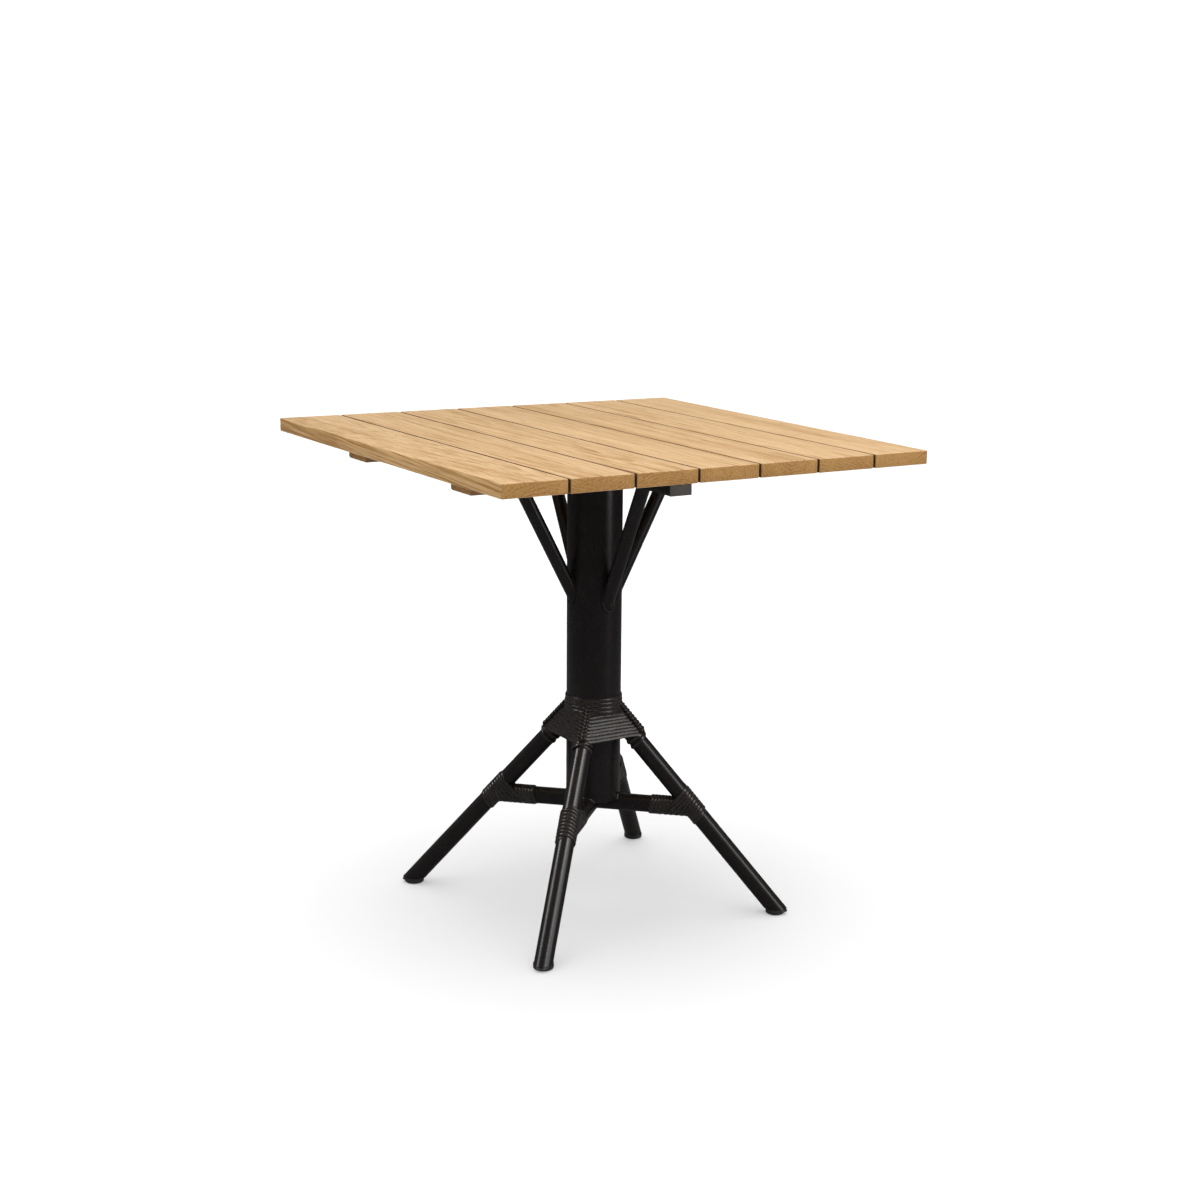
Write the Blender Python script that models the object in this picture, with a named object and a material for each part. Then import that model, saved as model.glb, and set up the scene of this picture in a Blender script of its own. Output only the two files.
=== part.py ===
"""Bistro table with a square slatted wooden top on a lashed tubular pedestal.

Run with: blender --background --python part.py
Units are metres and +Z is up. The floor is z = 0 and the column stands on the origin.
The slats run along Y. The legs and stretchers lie on the diagonals of the top.
"""

import math

import bmesh
import bpy
from mathutils import Matrix, Vector

# Whole table
TABLE_HEIGHT = 0.735
TOP_SIZE = 0.700
TOUCH_GAP = 0.0003

# Wooden top
SLAT_COUNT = 7
SLAT_GAP = 0.003
SLAT_THICKNESS = 0.020
SLAT_WIDTH = (TOP_SIZE - (SLAT_COUNT - 1) * SLAT_GAP) / SLAT_COUNT
SLAT_EDGE_RADIUS = 0.0018
BATTEN_LENGTH = 0.620
BATTEN_WIDTH = 0.058
BATTEN_THICKNESS = 0.022
BATTEN_OFFSET = 0.1625
BATTEN_EDGE_RADIUS = 0.003

# Flat cross of rectangular tubes under the top
BAR_HALF_LENGTH = 0.232
BAR_WIDTH = 0.036
LOWER_BAR_HEIGHT = 0.016
BAR_WALL = 0.0015
BAR_EDGE_RADIUS = 0.0015
BAR_INNER_RADIUS = 0.0006
CAP_PLATE = 0.002
CAP_PLUG_DEPTH = 0.010
CAP_EDGE_RADIUS = 0.0008

# Column and struts
COLUMN_RADIUS = 0.0418
COLUMN_WALL = 0.002
COLUMN_CAP_THICKNESS = 0.003
COLUMN_BOTTOM = 0.1695
COLUMN_CLEARANCE_BOTTOM = 0.1
STRUT_RADIUS = 0.0102
STRUT_WALL = 0.0015
LOWER_STRUT_REACH = 0.135
LOWER_STRUT_FOOT = 0.494
UPPER_STRUT_REACH = 0.143
UPPER_STRUT_FOOT = 0.503

# Legs, stretchers and glides
LEG_RADIUS = 0.0138
LEG_WALL = 0.0015
LEG_FLOOR_REACH = 0.301
LEG_SLOPE = 0.873
LEG_CUT_HEIGHT = 0.009
LEG_TOP_REACH = COLUMN_RADIUS * 0.55
STRETCHER_HEIGHT = 0.163
STRETCHER_RADIUS = 0.0134
GLIDE_RADIUS = 0.015
GLIDE_CONTACT_RADIUS = 0.011
GLIDE_RIM_HEIGHT = 0.0025
GLIDE_CURVE_RADIUS = 0.013
GLIDE_CURVE_HEIGHT = 0.00075
GLIDE_STEM_RISE = 0.016
GLIDE_STEM_SINK = 0.004

# Lashings of flat synthetic strand
STRAND_LAYER = 0.0020
COLLAR_HEIGHT = 0.018
COLLAR_FLARE = 0.0015
SKIRT_BOTTOM = 0.2745
SKIRT_LEVELS = 5
SKIRT_SIDES = 64
JOINT_WRAP_LENGTH = 0.052
JOINT_WRAP_RISE = 0.0055
STRETCHER_WRAP_INNER = 0.090

# Screws
SCREW_HEAD_RADIUS = 0.0037
SCREW_SHANK_RADIUS = 0.0019
SCREW_CONE_HEIGHT = 0.0022
SCREW_BITE = 0.012
SCREW_SIDES = 8
BAR_SCREW_HEAD_HEIGHT = 0.0022
BAR_SCREW_CROWN_RADIUS = 0.0022
LOWER_SCREW_SHIFT = 0.012
UPPER_SCREW_SLAT = 2

# Level blocks that cut the tubes' ends
CUTTER_WIDTH = 1.0
CUTTER_HEIGHT = 0.1

# Roundness of the tubes
TUBE_SIDES = 32
COLUMN_SIDES = 48
SMOOTH_ANGLE = math.radians(35)

# Heights that follow from the sizes above
SLAT_UNDERSIDE = TABLE_HEIGHT - SLAT_THICKNESS
BATTEN_TOP = SLAT_UNDERSIDE - TOUCH_GAP
BATTEN_UNDERSIDE = BATTEN_TOP - BATTEN_THICKNESS
LOWER_BAR_TOP = BATTEN_UNDERSIDE - TOUCH_GAP
LOWER_BAR_UNDERSIDE = LOWER_BAR_TOP - LOWER_BAR_HEIGHT
COLUMN_CAP_TOP = LOWER_BAR_UNDERSIDE - TOUCH_GAP
COLUMN_TOP = COLUMN_CAP_TOP - COLUMN_CAP_THICKNESS - TOUCH_GAP
LEG_SECTION_REACH = LEG_RADIUS * math.hypot(1.0, LEG_SLOPE)
SKIRT_TOP = (LEG_FLOOR_REACH + LEG_SECTION_REACH - COLUMN_RADIUS) / LEG_SLOPE
JOINT_REACH = LEG_FLOOR_REACH - LEG_SLOPE * STRETCHER_HEIGHT

DIAGONALS = {
    "front_left": Vector((-1.0, -1.0, 0.0)).normalized(),
    "front_right": Vector((1.0, -1.0, 0.0)).normalized(),
    "back_left": Vector((-1.0, 1.0, 0.0)).normalized(),
    "back_right": Vector((1.0, 1.0, 0.0)).normalized(),
}
SIDES = {
    "left": Vector((-1.0, 0.0, 0.0)),
    "right": Vector((1.0, 0.0, 0.0)),
    "front": Vector((0.0, -1.0, 0.0)),
    "back": Vector((0.0, 1.0, 0.0)),
}


def clear_scene():
    """Start from an empty scene."""
    for item in list(bpy.context.scene.objects):
        bpy.data.objects.remove(item, do_unlink=True)


def make_material(name, colour, roughness, metallic):
    """Return a plain finish."""
    material = bpy.data.materials.new(name)
    material.use_nodes = True
    shader = material.node_tree.nodes["Principled BSDF"]
    shader.inputs["Base Color"].default_value = (*colour, 1.0)
    shader.inputs["Roughness"].default_value = roughness
    shader.inputs["Metallic"].default_value = metallic
    return material


def add_object(name, bm, material=None, location=(0.0, 0.0, 0.0), direction=None):
    """Turn a bmesh into a named object whose own +Z points along direction."""
    bmesh.ops.recalc_face_normals(bm, faces=bm.faces)
    mesh = bpy.data.meshes.new(name)
    bm.to_mesh(mesh)
    bm.free()
    mesh.shade_smooth()
    mesh.set_sharp_from_angle(angle=SMOOTH_ANGLE)
    item = bpy.data.objects.new(name, mesh)
    if material is not None:
        mesh.materials.append(material)
    item.location = location
    if direction is not None:
        item.rotation_euler = Vector(direction).to_track_quat("Z", "Y").to_euler()
    bpy.context.scene.collection.objects.link(item)
    return item


def add_cutter(name, bm, location=(0.0, 0.0, 0.0), direction=None):
    """Add a hidden solid that only serves as a Boolean operand."""
    cutter = add_object(name, bm, None, location, direction)
    cutter.hide_render = True
    cutter.display_type = "WIRE"
    return cutter


def add_boolean(item, cutter, operation="DIFFERENCE"):
    """Cut one object with another, or join it to another."""
    modifier = item.modifiers.new(operation.lower(), "BOOLEAN")
    modifier.operation = operation
    modifier.solver = "EXACT"
    modifier.object = cutter


def lathe(bm, profile, segments, closed):
    """Turn a profile of (radius, height) points round Z. A closed profile makes a ring."""
    verts = [bm.verts.new((radius, 0.0, height)) for radius, height in profile]
    edges = [bm.edges.new(pair) for pair in zip(verts, verts[1:])]
    if closed:
        edges.append(bm.edges.new((verts[-1], verts[0])))
    bmesh.ops.spin(
        bm,
        geom=verts + edges,
        cent=(0.0, 0.0, 0.0),
        axis=(0.0, 0.0, 1.0),
        angle=math.tau,
        steps=segments,
        use_merge=True,
    )
    bmesh.ops.remove_doubles(bm, verts=bm.verts, dist=1e-6)


def tube(outer, inner, start, end, segments=TUBE_SIDES):
    """Return an open-ended round tube along Z."""
    bm = bmesh.new()
    lathe(bm, [(outer, start), (outer, end), (inner, end), (inner, start)], segments, True)
    return bm


def rod(radius, start, end, segments=TUBE_SIDES):
    """Return a solid round bar along Z."""
    bm = bmesh.new()
    lathe(bm, [(0.0, start), (radius, start), (radius, end), (0.0, end)], segments, False)
    return bm


def box(size, centre=(0.0, 0.0, 0.0)):
    """Return a rectangular block."""
    bm = bmesh.new()
    bmesh.ops.create_cube(bm, size=1.0)
    bmesh.ops.scale(bm, verts=bm.verts, vec=size)
    bmesh.ops.translate(bm, verts=bm.verts, vec=centre)
    return bm


def add_bevel(item, width, segments):
    """Round the sharp edges of an object."""
    modifier = item.modifiers.new("rounded_edges", "BEVEL")
    modifier.width = width
    modifier.segments = segments
    modifier.limit_method = "ANGLE"
    modifier.angle_limit = SMOOTH_ANGLE


def leg_direction(diagonal):
    """Return the unit vector up along a leg, from the floor towards the column."""
    return (Vector((0.0, 0.0, 1.0)) - diagonal * LEG_SLOPE).normalized()


def leg_point(diagonal, height):
    """Return the point of a leg's axis at a height."""
    return diagonal * (LEG_FLOOR_REACH - LEG_SLOPE * height) + Vector((0.0, 0.0, height))


def slat_centre(number):
    """Return where across the top a slat lies."""
    return (number - (SLAT_COUNT - 1) / 2) * (SLAT_WIDTH + SLAT_GAP)


def slat_screw_places():
    """Return where the slat screws stand: one where each slat crosses each batten."""
    places = []
    for number in range(SLAT_COUNT):
        low = max(slat_centre(number) - SLAT_WIDTH / 2, -BATTEN_LENGTH / 2)
        high = min(slat_centre(number) + SLAT_WIDTH / 2, BATTEN_LENGTH / 2)
        for side in (-1, 1):
            places.append(Vector(((low + high) / 2, side * BATTEN_OFFSET, BATTEN_UNDERSIDE)))
    return places


def bar_screw_places(lower):
    """Return where the screws of the lower bar, or of the upper one, stand."""
    if lower:
        reach = BATTEN_OFFSET + LOWER_SCREW_SHIFT
        return [Vector((0.0, side * reach, LOWER_BAR_UNDERSIDE)) for side in (-1, 1)]
    reach = UPPER_SCREW_SLAT * (SLAT_WIDTH + SLAT_GAP)
    return [Vector((side * reach, 0.0, BATTEN_UNDERSIDE)) for side in (-1, 1)]


def slat_screw(clearance):
    """Return a countersunk screw, or the hole for it, that enters the batten at z = 0."""
    head = SCREW_HEAD_RADIUS + clearance
    shank = SCREW_SHANK_RADIUS + clearance
    tip = BATTEN_THICKNESS + SCREW_BITE
    profile = [
        (0.0, -clearance),
        (head, -clearance),
        (shank, SCREW_CONE_HEIGHT + clearance),
        (shank, tip),
        (0.0, tip + clearance),
    ]
    bm = bmesh.new()
    lathe(bm, profile, SCREW_SIDES, False)
    return bm


def bar_screw(bar_height):
    """Return a pan-head screw that goes up through a bar whose underside is at z = 0."""
    tip = bar_height + SCREW_BITE
    head_bottom = -TOUCH_GAP - BAR_SCREW_HEAD_HEIGHT
    profile = [
        (0.0, tip),
        (SCREW_SHANK_RADIUS, tip),
        (SCREW_SHANK_RADIUS, -TOUCH_GAP),
        (SCREW_HEAD_RADIUS, -TOUCH_GAP),
        (BAR_SCREW_CROWN_RADIUS, head_bottom),
        (0.0, head_bottom),
    ]
    bm = bmesh.new()
    lathe(bm, profile, SCREW_SIDES, False)
    return bm


def add_hole_cutter(name, holes):
    """Add one cutter that holds several holes, given as (bmesh, place) pairs."""
    joined = bmesh.new()
    for hole, place in holes:
        bmesh.ops.translate(hole, verts=hole.verts, vec=place)
        carrier = bpy.data.meshes.new("carrier")
        hole.to_mesh(carrier)
        hole.free()
        joined.from_mesh(carrier)
        bpy.data.meshes.remove(carrier)
    return add_cutter(name, joined)


def add_screws(name, first_mesh, places, finish):
    """Add one object per screw. All of them share the first one's mesh."""
    first = add_object(f"{name}_1", first_mesh, finish, places[0])
    for number, place in enumerate(places[1:], start=2):
        screw = bpy.data.objects.new(f"{name}_{number}", first.data)
        screw.location = place
        bpy.context.scene.collection.objects.link(screw)


def build_screws(finishes):
    """Make the screws, and return the cutters of their holes."""
    places = slat_screw_places()
    add_screws("slat_screw", slat_screw(0.0), places, finishes["screw"])
    slat_holes = add_hole_cutter("slat_holes", [(slat_screw(TOUCH_GAP), p) for p in places])
    holes = []
    for name, lower, height in (
        ("lower_bar_screw", True, LOWER_BAR_HEIGHT),
        ("upper_bar_screw", False, BATTEN_THICKNESS),
    ):
        places = bar_screw_places(lower)
        add_screws(name, bar_screw(height), places, finishes["screw"])
        tip = height + SCREW_BITE + TOUCH_GAP
        for place in places:
            shank = rod(SCREW_SHANK_RADIUS + TOUCH_GAP, -SCREW_BITE, tip, SCREW_SIDES)
            holes.append((shank, place))
    return slat_holes, add_hole_cutter("bar_holes", holes)


def build_top(finishes, slat_holes, bar_holes):
    """Make the slats and the two battens that they are screwed to."""
    for number in range(SLAT_COUNT):
        bm = box((SLAT_WIDTH, TOP_SIZE, SLAT_THICKNESS))
        place = (slat_centre(number), 0.0, TABLE_HEIGHT - SLAT_THICKNESS / 2)
        slat = add_object(f"slat_{number + 1}", bm, finishes["wood"], place)
        add_bevel(slat, SLAT_EDGE_RADIUS, 3)
        add_boolean(slat, slat_holes)
        if abs(number - (SLAT_COUNT - 1) / 2) == UPPER_SCREW_SLAT:
            add_boolean(slat, bar_holes)
    for name, side in (("batten_front", -1), ("batten_back", 1)):
        bm = box((BATTEN_LENGTH, BATTEN_WIDTH, BATTEN_THICKNESS))
        place = (0.0, side * BATTEN_OFFSET, BATTEN_TOP - BATTEN_THICKNESS / 2)
        batten = add_object(name, bm, finishes["wood"], place)
        add_bevel(batten, BATTEN_EDGE_RADIUS, 3)
        add_boolean(batten, slat_holes)
        add_boolean(batten, bar_holes)


def rectangular_tube(length, width, height):
    """Return an open rectangular tube along X, with rounded long edges."""
    bm = bmesh.new()
    rings = []
    for shrink, radius in ((0.0, BAR_EDGE_RADIUS), (BAR_WALL, BAR_INNER_RADIUS)):
        half_y = width / 2 - shrink - radius
        half_z = height / 2 - shrink - radius
        outline = []
        for quarter in range(4):
            sign_y, sign_z = ((1, 1), (-1, 1), (-1, -1), (1, -1))[quarter]
            for step in range(3):
                angle = (quarter + step / 2) * math.pi / 2
                y = sign_y * half_y + radius * math.cos(angle)
                z = sign_z * half_z + radius * math.sin(angle)
                outline.append(bm.verts.new((-length / 2, y, z)))
        edges = [bm.edges.new((a, b)) for a, b in zip(outline, outline[1:] + outline[:1])]
        rings.append(edges)
    wall = bmesh.ops.bridge_loops(bm, edges=rings[0] + rings[1])["faces"]
    moved = bmesh.ops.extrude_face_region(bm, geom=wall)["geom"]
    far_verts = [part for part in moved if isinstance(part, bmesh.types.BMVert)]
    bmesh.ops.translate(bm, verts=far_verts, vec=(length, 0.0, 0.0))
    return bm


def build_bars(finishes, bar_holes):
    """Make the two crossing bars and the caps in their open ends."""
    tube_length = 2 * (BAR_HALF_LENGTH - CAP_PLATE - TOUCH_GAP)
    bars = (
        ("bar_across_slats", ("left", "right"), BATTEN_THICKNESS, BATTEN_UNDERSIDE),
        ("bar_along_slats", ("front", "back"), LOWER_BAR_HEIGHT, LOWER_BAR_UNDERSIDE),
    )
    for name, ends, height, underside in bars:
        middle = Vector((0.0, 0.0, underside + height / 2))
        turn = math.pi / 2 if name == "bar_along_slats" else 0.0
        bar = add_object(
            name, rectangular_tube(tube_length, BAR_WIDTH, height), finishes["metal"], middle
        )
        bar.rotation_euler = (0.0, 0.0, turn)
        add_boolean(bar, bar_holes)
        for end in ends:
            outward = SIDES[end]
            plate = (CAP_PLATE, BAR_WIDTH, height)
            plug_width = BAR_WIDTH - 2 * (BAR_WALL + TOUCH_GAP)
            plug_height = height - 2 * (BAR_WALL + TOUCH_GAP)
            bm = end_cap(plate, (CAP_PLUG_DEPTH, plug_width, plug_height))
            cap = add_object(f"bar_cap_{end}", bm, finishes["plastic"])
            cap.location = middle + outward * BAR_HALF_LENGTH
            cap.rotation_euler = (0.0, 0.0, math.atan2(outward.y, outward.x))


def end_cap(plate, plug):
    """Return a cap whose outer face is at x = 0, with a plug on its inner side."""
    bm = box(plate, (-plate[0] / 2, 0.0, 0.0))
    inner = min(bm.faces, key=lambda face: face.calc_center_median().x)
    rim_width = (plate[1] - plug[1]) / 2
    bmesh.ops.inset_region(bm, faces=[inner], thickness=rim_width, use_even_offset=True)
    grown = bmesh.ops.extrude_face_region(bm, geom=[inner])["geom"]
    verts = [part for part in grown if isinstance(part, bmesh.types.BMVert)]
    bmesh.ops.translate(bm, verts=verts, vec=(-plug[0], 0.0, 0.0))
    bmesh.ops.delete(bm, geom=[inner], context="FACES")
    rim = [edge for edge in bm.edges if all(abs(v.co.x) < 1e-6 for v in edge.verts)]
    bmesh.ops.bevel(bm, geom=rim, offset=CAP_EDGE_RADIUS, segments=2, profile=0.5, affect="EDGES")
    return bm


def build_column(finishes, stretcher_cutters):
    """Make the round column, saddled over the stretchers, and the disc that closes its top."""
    bm = tube(
        COLUMN_RADIUS, COLUMN_RADIUS - COLUMN_WALL, COLUMN_BOTTOM, COLUMN_TOP, COLUMN_SIDES
    )
    column = add_object("column_tube", bm, finishes["metal"])
    for cutter in stretcher_cutters:
        add_boolean(column, cutter)
    bottom = COLUMN_CAP_TOP - COLUMN_CAP_THICKNESS
    bm = rod(COLUMN_RADIUS, bottom, COLUMN_CAP_TOP, COLUMN_SIDES)
    add_object("column_cap", bm, finishes["metal"])


def build_struts(finishes, column_cutter):
    """Make the four slanted struts between the column and the bars.

    The left and right ones carry the upper bar, the front and back ones the lower bar.
    """
    pairs = (
        (("left", "right"), BATTEN_UNDERSIDE, UPPER_STRUT_REACH, UPPER_STRUT_FOOT),
        (("front", "back"), LOWER_BAR_UNDERSIDE, LOWER_STRUT_REACH, LOWER_STRUT_FOOT),
    )
    for ends, ceiling, reach, foot_height in pairs:
        size = (CUTTER_WIDTH, CUTTER_WIDTH, CUTTER_HEIGHT)
        bm = box(size, (0.0, 0.0, ceiling - TOUCH_GAP + CUTTER_HEIGHT / 2))
        ceiling_cutter = add_cutter(f"strut_ceiling_{ends[0]}", bm)
        slope = (reach - COLUMN_RADIUS) / (ceiling - foot_height)
        for end in ends:
            outward = SIDES[end]
            upward = (Vector((0.0, 0.0, 1.0)) + outward * slope).normalized()
            start = Vector((0.0, 0.0, foot_height)) + outward * COLUMN_RADIUS
            top = (ceiling - foot_height) / upward.z + STRUT_RADIUS
            bm = tube(STRUT_RADIUS, STRUT_RADIUS - STRUT_WALL, -2 * STRUT_RADIUS, top)
            strut = add_object(f"strut_{end}", bm, finishes["metal"], start, upward)
            add_boolean(strut, column_cutter)
            add_boolean(strut, ceiling_cutter)


def build_legs(finishes, column_cutter):
    """Make the four slanted legs, coped to the column and cut level above the floor."""
    size = (CUTTER_WIDTH, CUTTER_WIDTH, CUTTER_HEIGHT)
    bm = box(size, (0.0, 0.0, LEG_CUT_HEIGHT - CUTTER_HEIGHT / 2))
    floor_cutter = add_cutter("leg_floor_cut", bm)
    for corner, diagonal in DIAGONALS.items():
        upward = leg_direction(diagonal)
        foot = leg_point(diagonal, 0.0)
        length = (LEG_FLOOR_REACH - LEG_TOP_REACH) / LEG_SLOPE / upward.z
        bm = tube(LEG_RADIUS, LEG_RADIUS - LEG_WALL, -LEG_RADIUS, length)
        leg = add_object(f"leg_{corner}", bm, finishes["metal"], foot, upward)
        add_boolean(leg, column_cutter)
        add_boolean(leg, floor_cutter)


def build_stretchers(finishes, leg_cutters, long_cutter):
    """Make one long stretcher between two legs and two short ones that meet its middle."""
    inner = STRETCHER_RADIUS - LEG_WALL
    middle = Vector((0.0, 0.0, STRETCHER_HEIGHT))
    long_way = DIAGONALS["front_right"]
    bm = tube(STRETCHER_RADIUS, inner, -JOINT_REACH, JOINT_REACH)
    stretcher = add_object("stretcher_long", bm, finishes["metal"], middle, long_way)
    add_boolean(stretcher, leg_cutters["front_right"])
    add_boolean(stretcher, leg_cutters["back_left"])
    for corner in ("front_left", "back_right"):
        bm = tube(STRETCHER_RADIUS, inner, 0.0, JOINT_REACH)
        name = f"stretcher_{corner}"
        stretcher = add_object(name, bm, finishes["metal"], middle, DIAGONALS[corner])
        add_boolean(stretcher, leg_cutters[corner])
        add_boolean(stretcher, long_cutter)


def glide_stem(diagonal):
    """Return the plug of a glide: a level-ended rod that leans along its leg."""
    radius = LEG_RADIUS - LEG_WALL - TOUCH_GAP
    bottom = leg_point(diagonal, LEG_CUT_HEIGHT - GLIDE_STEM_SINK)
    top = leg_point(diagonal, LEG_CUT_HEIGHT + GLIDE_STEM_RISE)
    bm = bmesh.new()
    bmesh.ops.create_circle(bm, cap_ends=True, radius=radius, segments=TUBE_SIDES)
    lengthen = (math.hypot(1.0, LEG_SLOPE), 1.0, 1.0)
    bmesh.ops.scale(bm, verts=bm.verts, vec=lengthen)
    turn = Matrix.Rotation(math.atan2(diagonal.y, diagonal.x), 3, "Z")
    bmesh.ops.rotate(bm, verts=bm.verts, cent=(0.0, 0.0, 0.0), matrix=turn)
    bmesh.ops.translate(bm, verts=bm.verts, vec=bottom)
    grown = bmesh.ops.extrude_face_region(bm, geom=list(bm.faces))["geom"]
    far_verts = [part for part in grown if isinstance(part, bmesh.types.BMVert)]
    bmesh.ops.translate(bm, verts=far_verts, vec=top - bottom)
    return bm


def build_glides(finishes):
    """Make the plastic glides that plug the level-cut ends of the legs."""
    for corner, diagonal in DIAGONALS.items():
        top = LEG_CUT_HEIGHT - TOUCH_GAP
        profile = [
            (0.0, 0.0),
            (GLIDE_CONTACT_RADIUS, 0.0),
            (GLIDE_CURVE_RADIUS, GLIDE_CURVE_HEIGHT),
            (GLIDE_RADIUS, GLIDE_RIM_HEIGHT),
            (GLIDE_RADIUS, top),
            (0.0, top),
        ]
        bm = bmesh.new()
        lathe(bm, profile, TUBE_SIDES, False)
        centre = leg_point(diagonal, LEG_CUT_HEIGHT)
        centre.z = 0.0
        glide = add_object(f"glide_{corner}", bm, finishes["plastic"], centre)
        stem = add_cutter(f"glide_stem_{corner}", glide_stem(diagonal))
        add_boolean(glide, stem, "UNION")


def outline_point(angle, height, offset):
    """Return the point, at a height, where a taut band round column and legs faces angle.

    The band is the convex outline round the column's circle and the four leg sections,
    which are ellipses. Its point facing an angle lies on whichever reaches furthest.
    """
    facing = Vector((math.cos(angle), math.sin(angle), 0.0))
    best = facing * COLUMN_RADIUS
    for diagonal in DIAGONALS.values():
        across = Vector((-diagonal.y, diagonal.x, 0.0))
        along = LEG_SECTION_REACH * facing.dot(diagonal)
        aside = LEG_RADIUS * facing.dot(across)
        reach = math.hypot(along, aside)
        centre = leg_point(diagonal, height)
        centre.z = 0.0
        section = diagonal * (LEG_SECTION_REACH * along / reach)
        section += across * (LEG_RADIUS * aside / reach)
        point = centre + section
        if point.dot(facing) > best.dot(facing):
            best = point
    return best + facing * offset + Vector((0.0, 0.0, height))


def build_skirt(finishes):
    """Make the flared skirt of strand stretched over the column and the four legs."""
    bm = bmesh.new()
    loops = []
    heights = []
    for level in range(SKIRT_LEVELS):
        share = level / (SKIRT_LEVELS - 1)
        heights.append(SKIRT_BOTTOM + (SKIRT_TOP - SKIRT_BOTTOM) * share)
    inner = [(height, TOUCH_GAP) for height in heights]
    outer = [(height, TOUCH_GAP + STRAND_LAYER) for height in reversed(heights)]
    for height, offset in inner + outer:
        loop = []
        for side in range(SKIRT_SIDES):
            angle = math.tau * side / SKIRT_SIDES
            loop.append(bm.verts.new(outline_point(angle, height, offset)))
        loops.append(loop)
    for first, second in zip(loops, loops[1:] + loops[:1]):
        for side in range(SKIRT_SIDES):
            after = (side + 1) % SKIRT_SIDES
            bm.faces.new((first[side], first[after], second[after], second[side]))
    add_object("skirt_lashing", bm, finishes["strand"])


def build_collar(finishes):
    """Make the band of strand wound round the column above the legs."""
    bottom = SKIRT_TOP + TOUCH_GAP
    inner = COLUMN_RADIUS + TOUCH_GAP
    outer = inner + STRAND_LAYER
    profile = [
        (inner, bottom),
        (outer + COLLAR_FLARE, bottom),
        (outer, bottom + COLLAR_HEIGHT / 2),
        (outer, bottom + COLLAR_HEIGHT),
        (inner, bottom + COLLAR_HEIGHT),
    ]
    bm = bmesh.new()
    lathe(bm, profile, COLUMN_SIDES, True)
    add_object("collar_lashing", bm, finishes["strand"])


def build_joint_lashings(finishes, leg_cutters, stretcher_cutters):
    """Make the lashings that bind each stretcher to its leg."""
    layer = TOUCH_GAP + STRAND_LAYER
    for corner, diagonal in DIAGONALS.items():
        centre = leg_point(diagonal, STRETCHER_HEIGHT + JOINT_WRAP_RISE)
        bm = rod(LEG_RADIUS + layer, -JOINT_WRAP_LENGTH / 2, JOINT_WRAP_LENGTH / 2)
        name = f"joint_lashing_{corner}"
        lashing = add_object(name, bm, finishes["strand"], centre, leg_direction(diagonal))
        start = Vector((0.0, 0.0, STRETCHER_HEIGHT))
        bm = rod(STRETCHER_RADIUS + layer, STRETCHER_WRAP_INNER, JOINT_REACH)
        sleeve = add_cutter(f"stretcher_wrap_{corner}", bm, start, diagonal)
        add_boolean(lashing, sleeve, "UNION")
        add_boolean(lashing, leg_cutters[corner])
        add_boolean(lashing, stretcher_cutters[corner])


def main():
    clear_scene()
    finishes = {
        "wood": make_material("teak", (0.62, 0.40, 0.20), 0.55, 0.0),
        "metal": make_material("dark_coated_metal", (0.020, 0.018, 0.017), 0.38, 0.6),
        "plastic": make_material("black_plastic", (0.03, 0.03, 0.03), 0.5, 0.0),
        "strand": make_material("dark_strand", (0.025, 0.020, 0.018), 0.45, 0.0),
        "screw": make_material("stainless_steel", (0.60, 0.60, 0.60), 0.3, 1.0),
    }
    leg_clear = LEG_RADIUS + TOUCH_GAP
    stretcher_clear = STRETCHER_RADIUS + TOUCH_GAP
    bm = rod(COLUMN_RADIUS + TOUCH_GAP, COLUMN_CLEARANCE_BOTTOM, TABLE_HEIGHT, COLUMN_SIDES)
    column_cutter = add_cutter("column_clearance", bm)
    leg_cutters = {}
    stretcher_cutters = {}
    for corner, diagonal in DIAGONALS.items():
        bm = rod(leg_clear, 0.0, JOINT_REACH * 2)
        foot = leg_point(diagonal, 0.0)
        name = f"leg_clearance_{corner}"
        leg_cutters[corner] = add_cutter(name, bm, foot, leg_direction(diagonal))
        middle = Vector((0.0, 0.0, STRETCHER_HEIGHT))
        bm = rod(stretcher_clear, 0.0, JOINT_REACH)
        name = f"stretcher_clearance_{corner}"
        stretcher_cutters[corner] = add_cutter(name, bm, middle, diagonal)
    bm = rod(stretcher_clear, -JOINT_REACH, JOINT_REACH)
    middle = Vector((0.0, 0.0, STRETCHER_HEIGHT))
    long_cutter = add_cutter("long_clearance", bm, middle, DIAGONALS["front_right"])
    bm = rod(stretcher_clear, -JOINT_REACH, JOINT_REACH)
    cross_cutter = add_cutter("cross_clearance", bm, middle, DIAGONALS["front_left"])

    slat_holes, bar_holes = build_screws(finishes)
    build_top(finishes, slat_holes, bar_holes)
    build_bars(finishes, bar_holes)
    build_column(finishes, (long_cutter, cross_cutter))
    build_struts(finishes, column_cutter)
    build_legs(finishes, column_cutter)
    build_stretchers(finishes, leg_cutters, long_cutter)
    build_glides(finishes)
    build_collar(finishes)
    build_skirt(finishes)
    build_joint_lashings(finishes, leg_cutters, stretcher_cutters)


main()
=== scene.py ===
"""Finishes, welds, screws and strand lashings of a slatted bistro table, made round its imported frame.

Units are metres and +Z is up. The floor is z = 0 and the column stands on the origin.
The slats run along Y. The legs and stretchers lie on the diagonals of the top.
"""

import math
import random

import bmesh
import bpy
from bpy.props import FloatProperty, FloatVectorProperty, IntProperty, PointerProperty
from mathutils import Matrix, Vector


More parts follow.
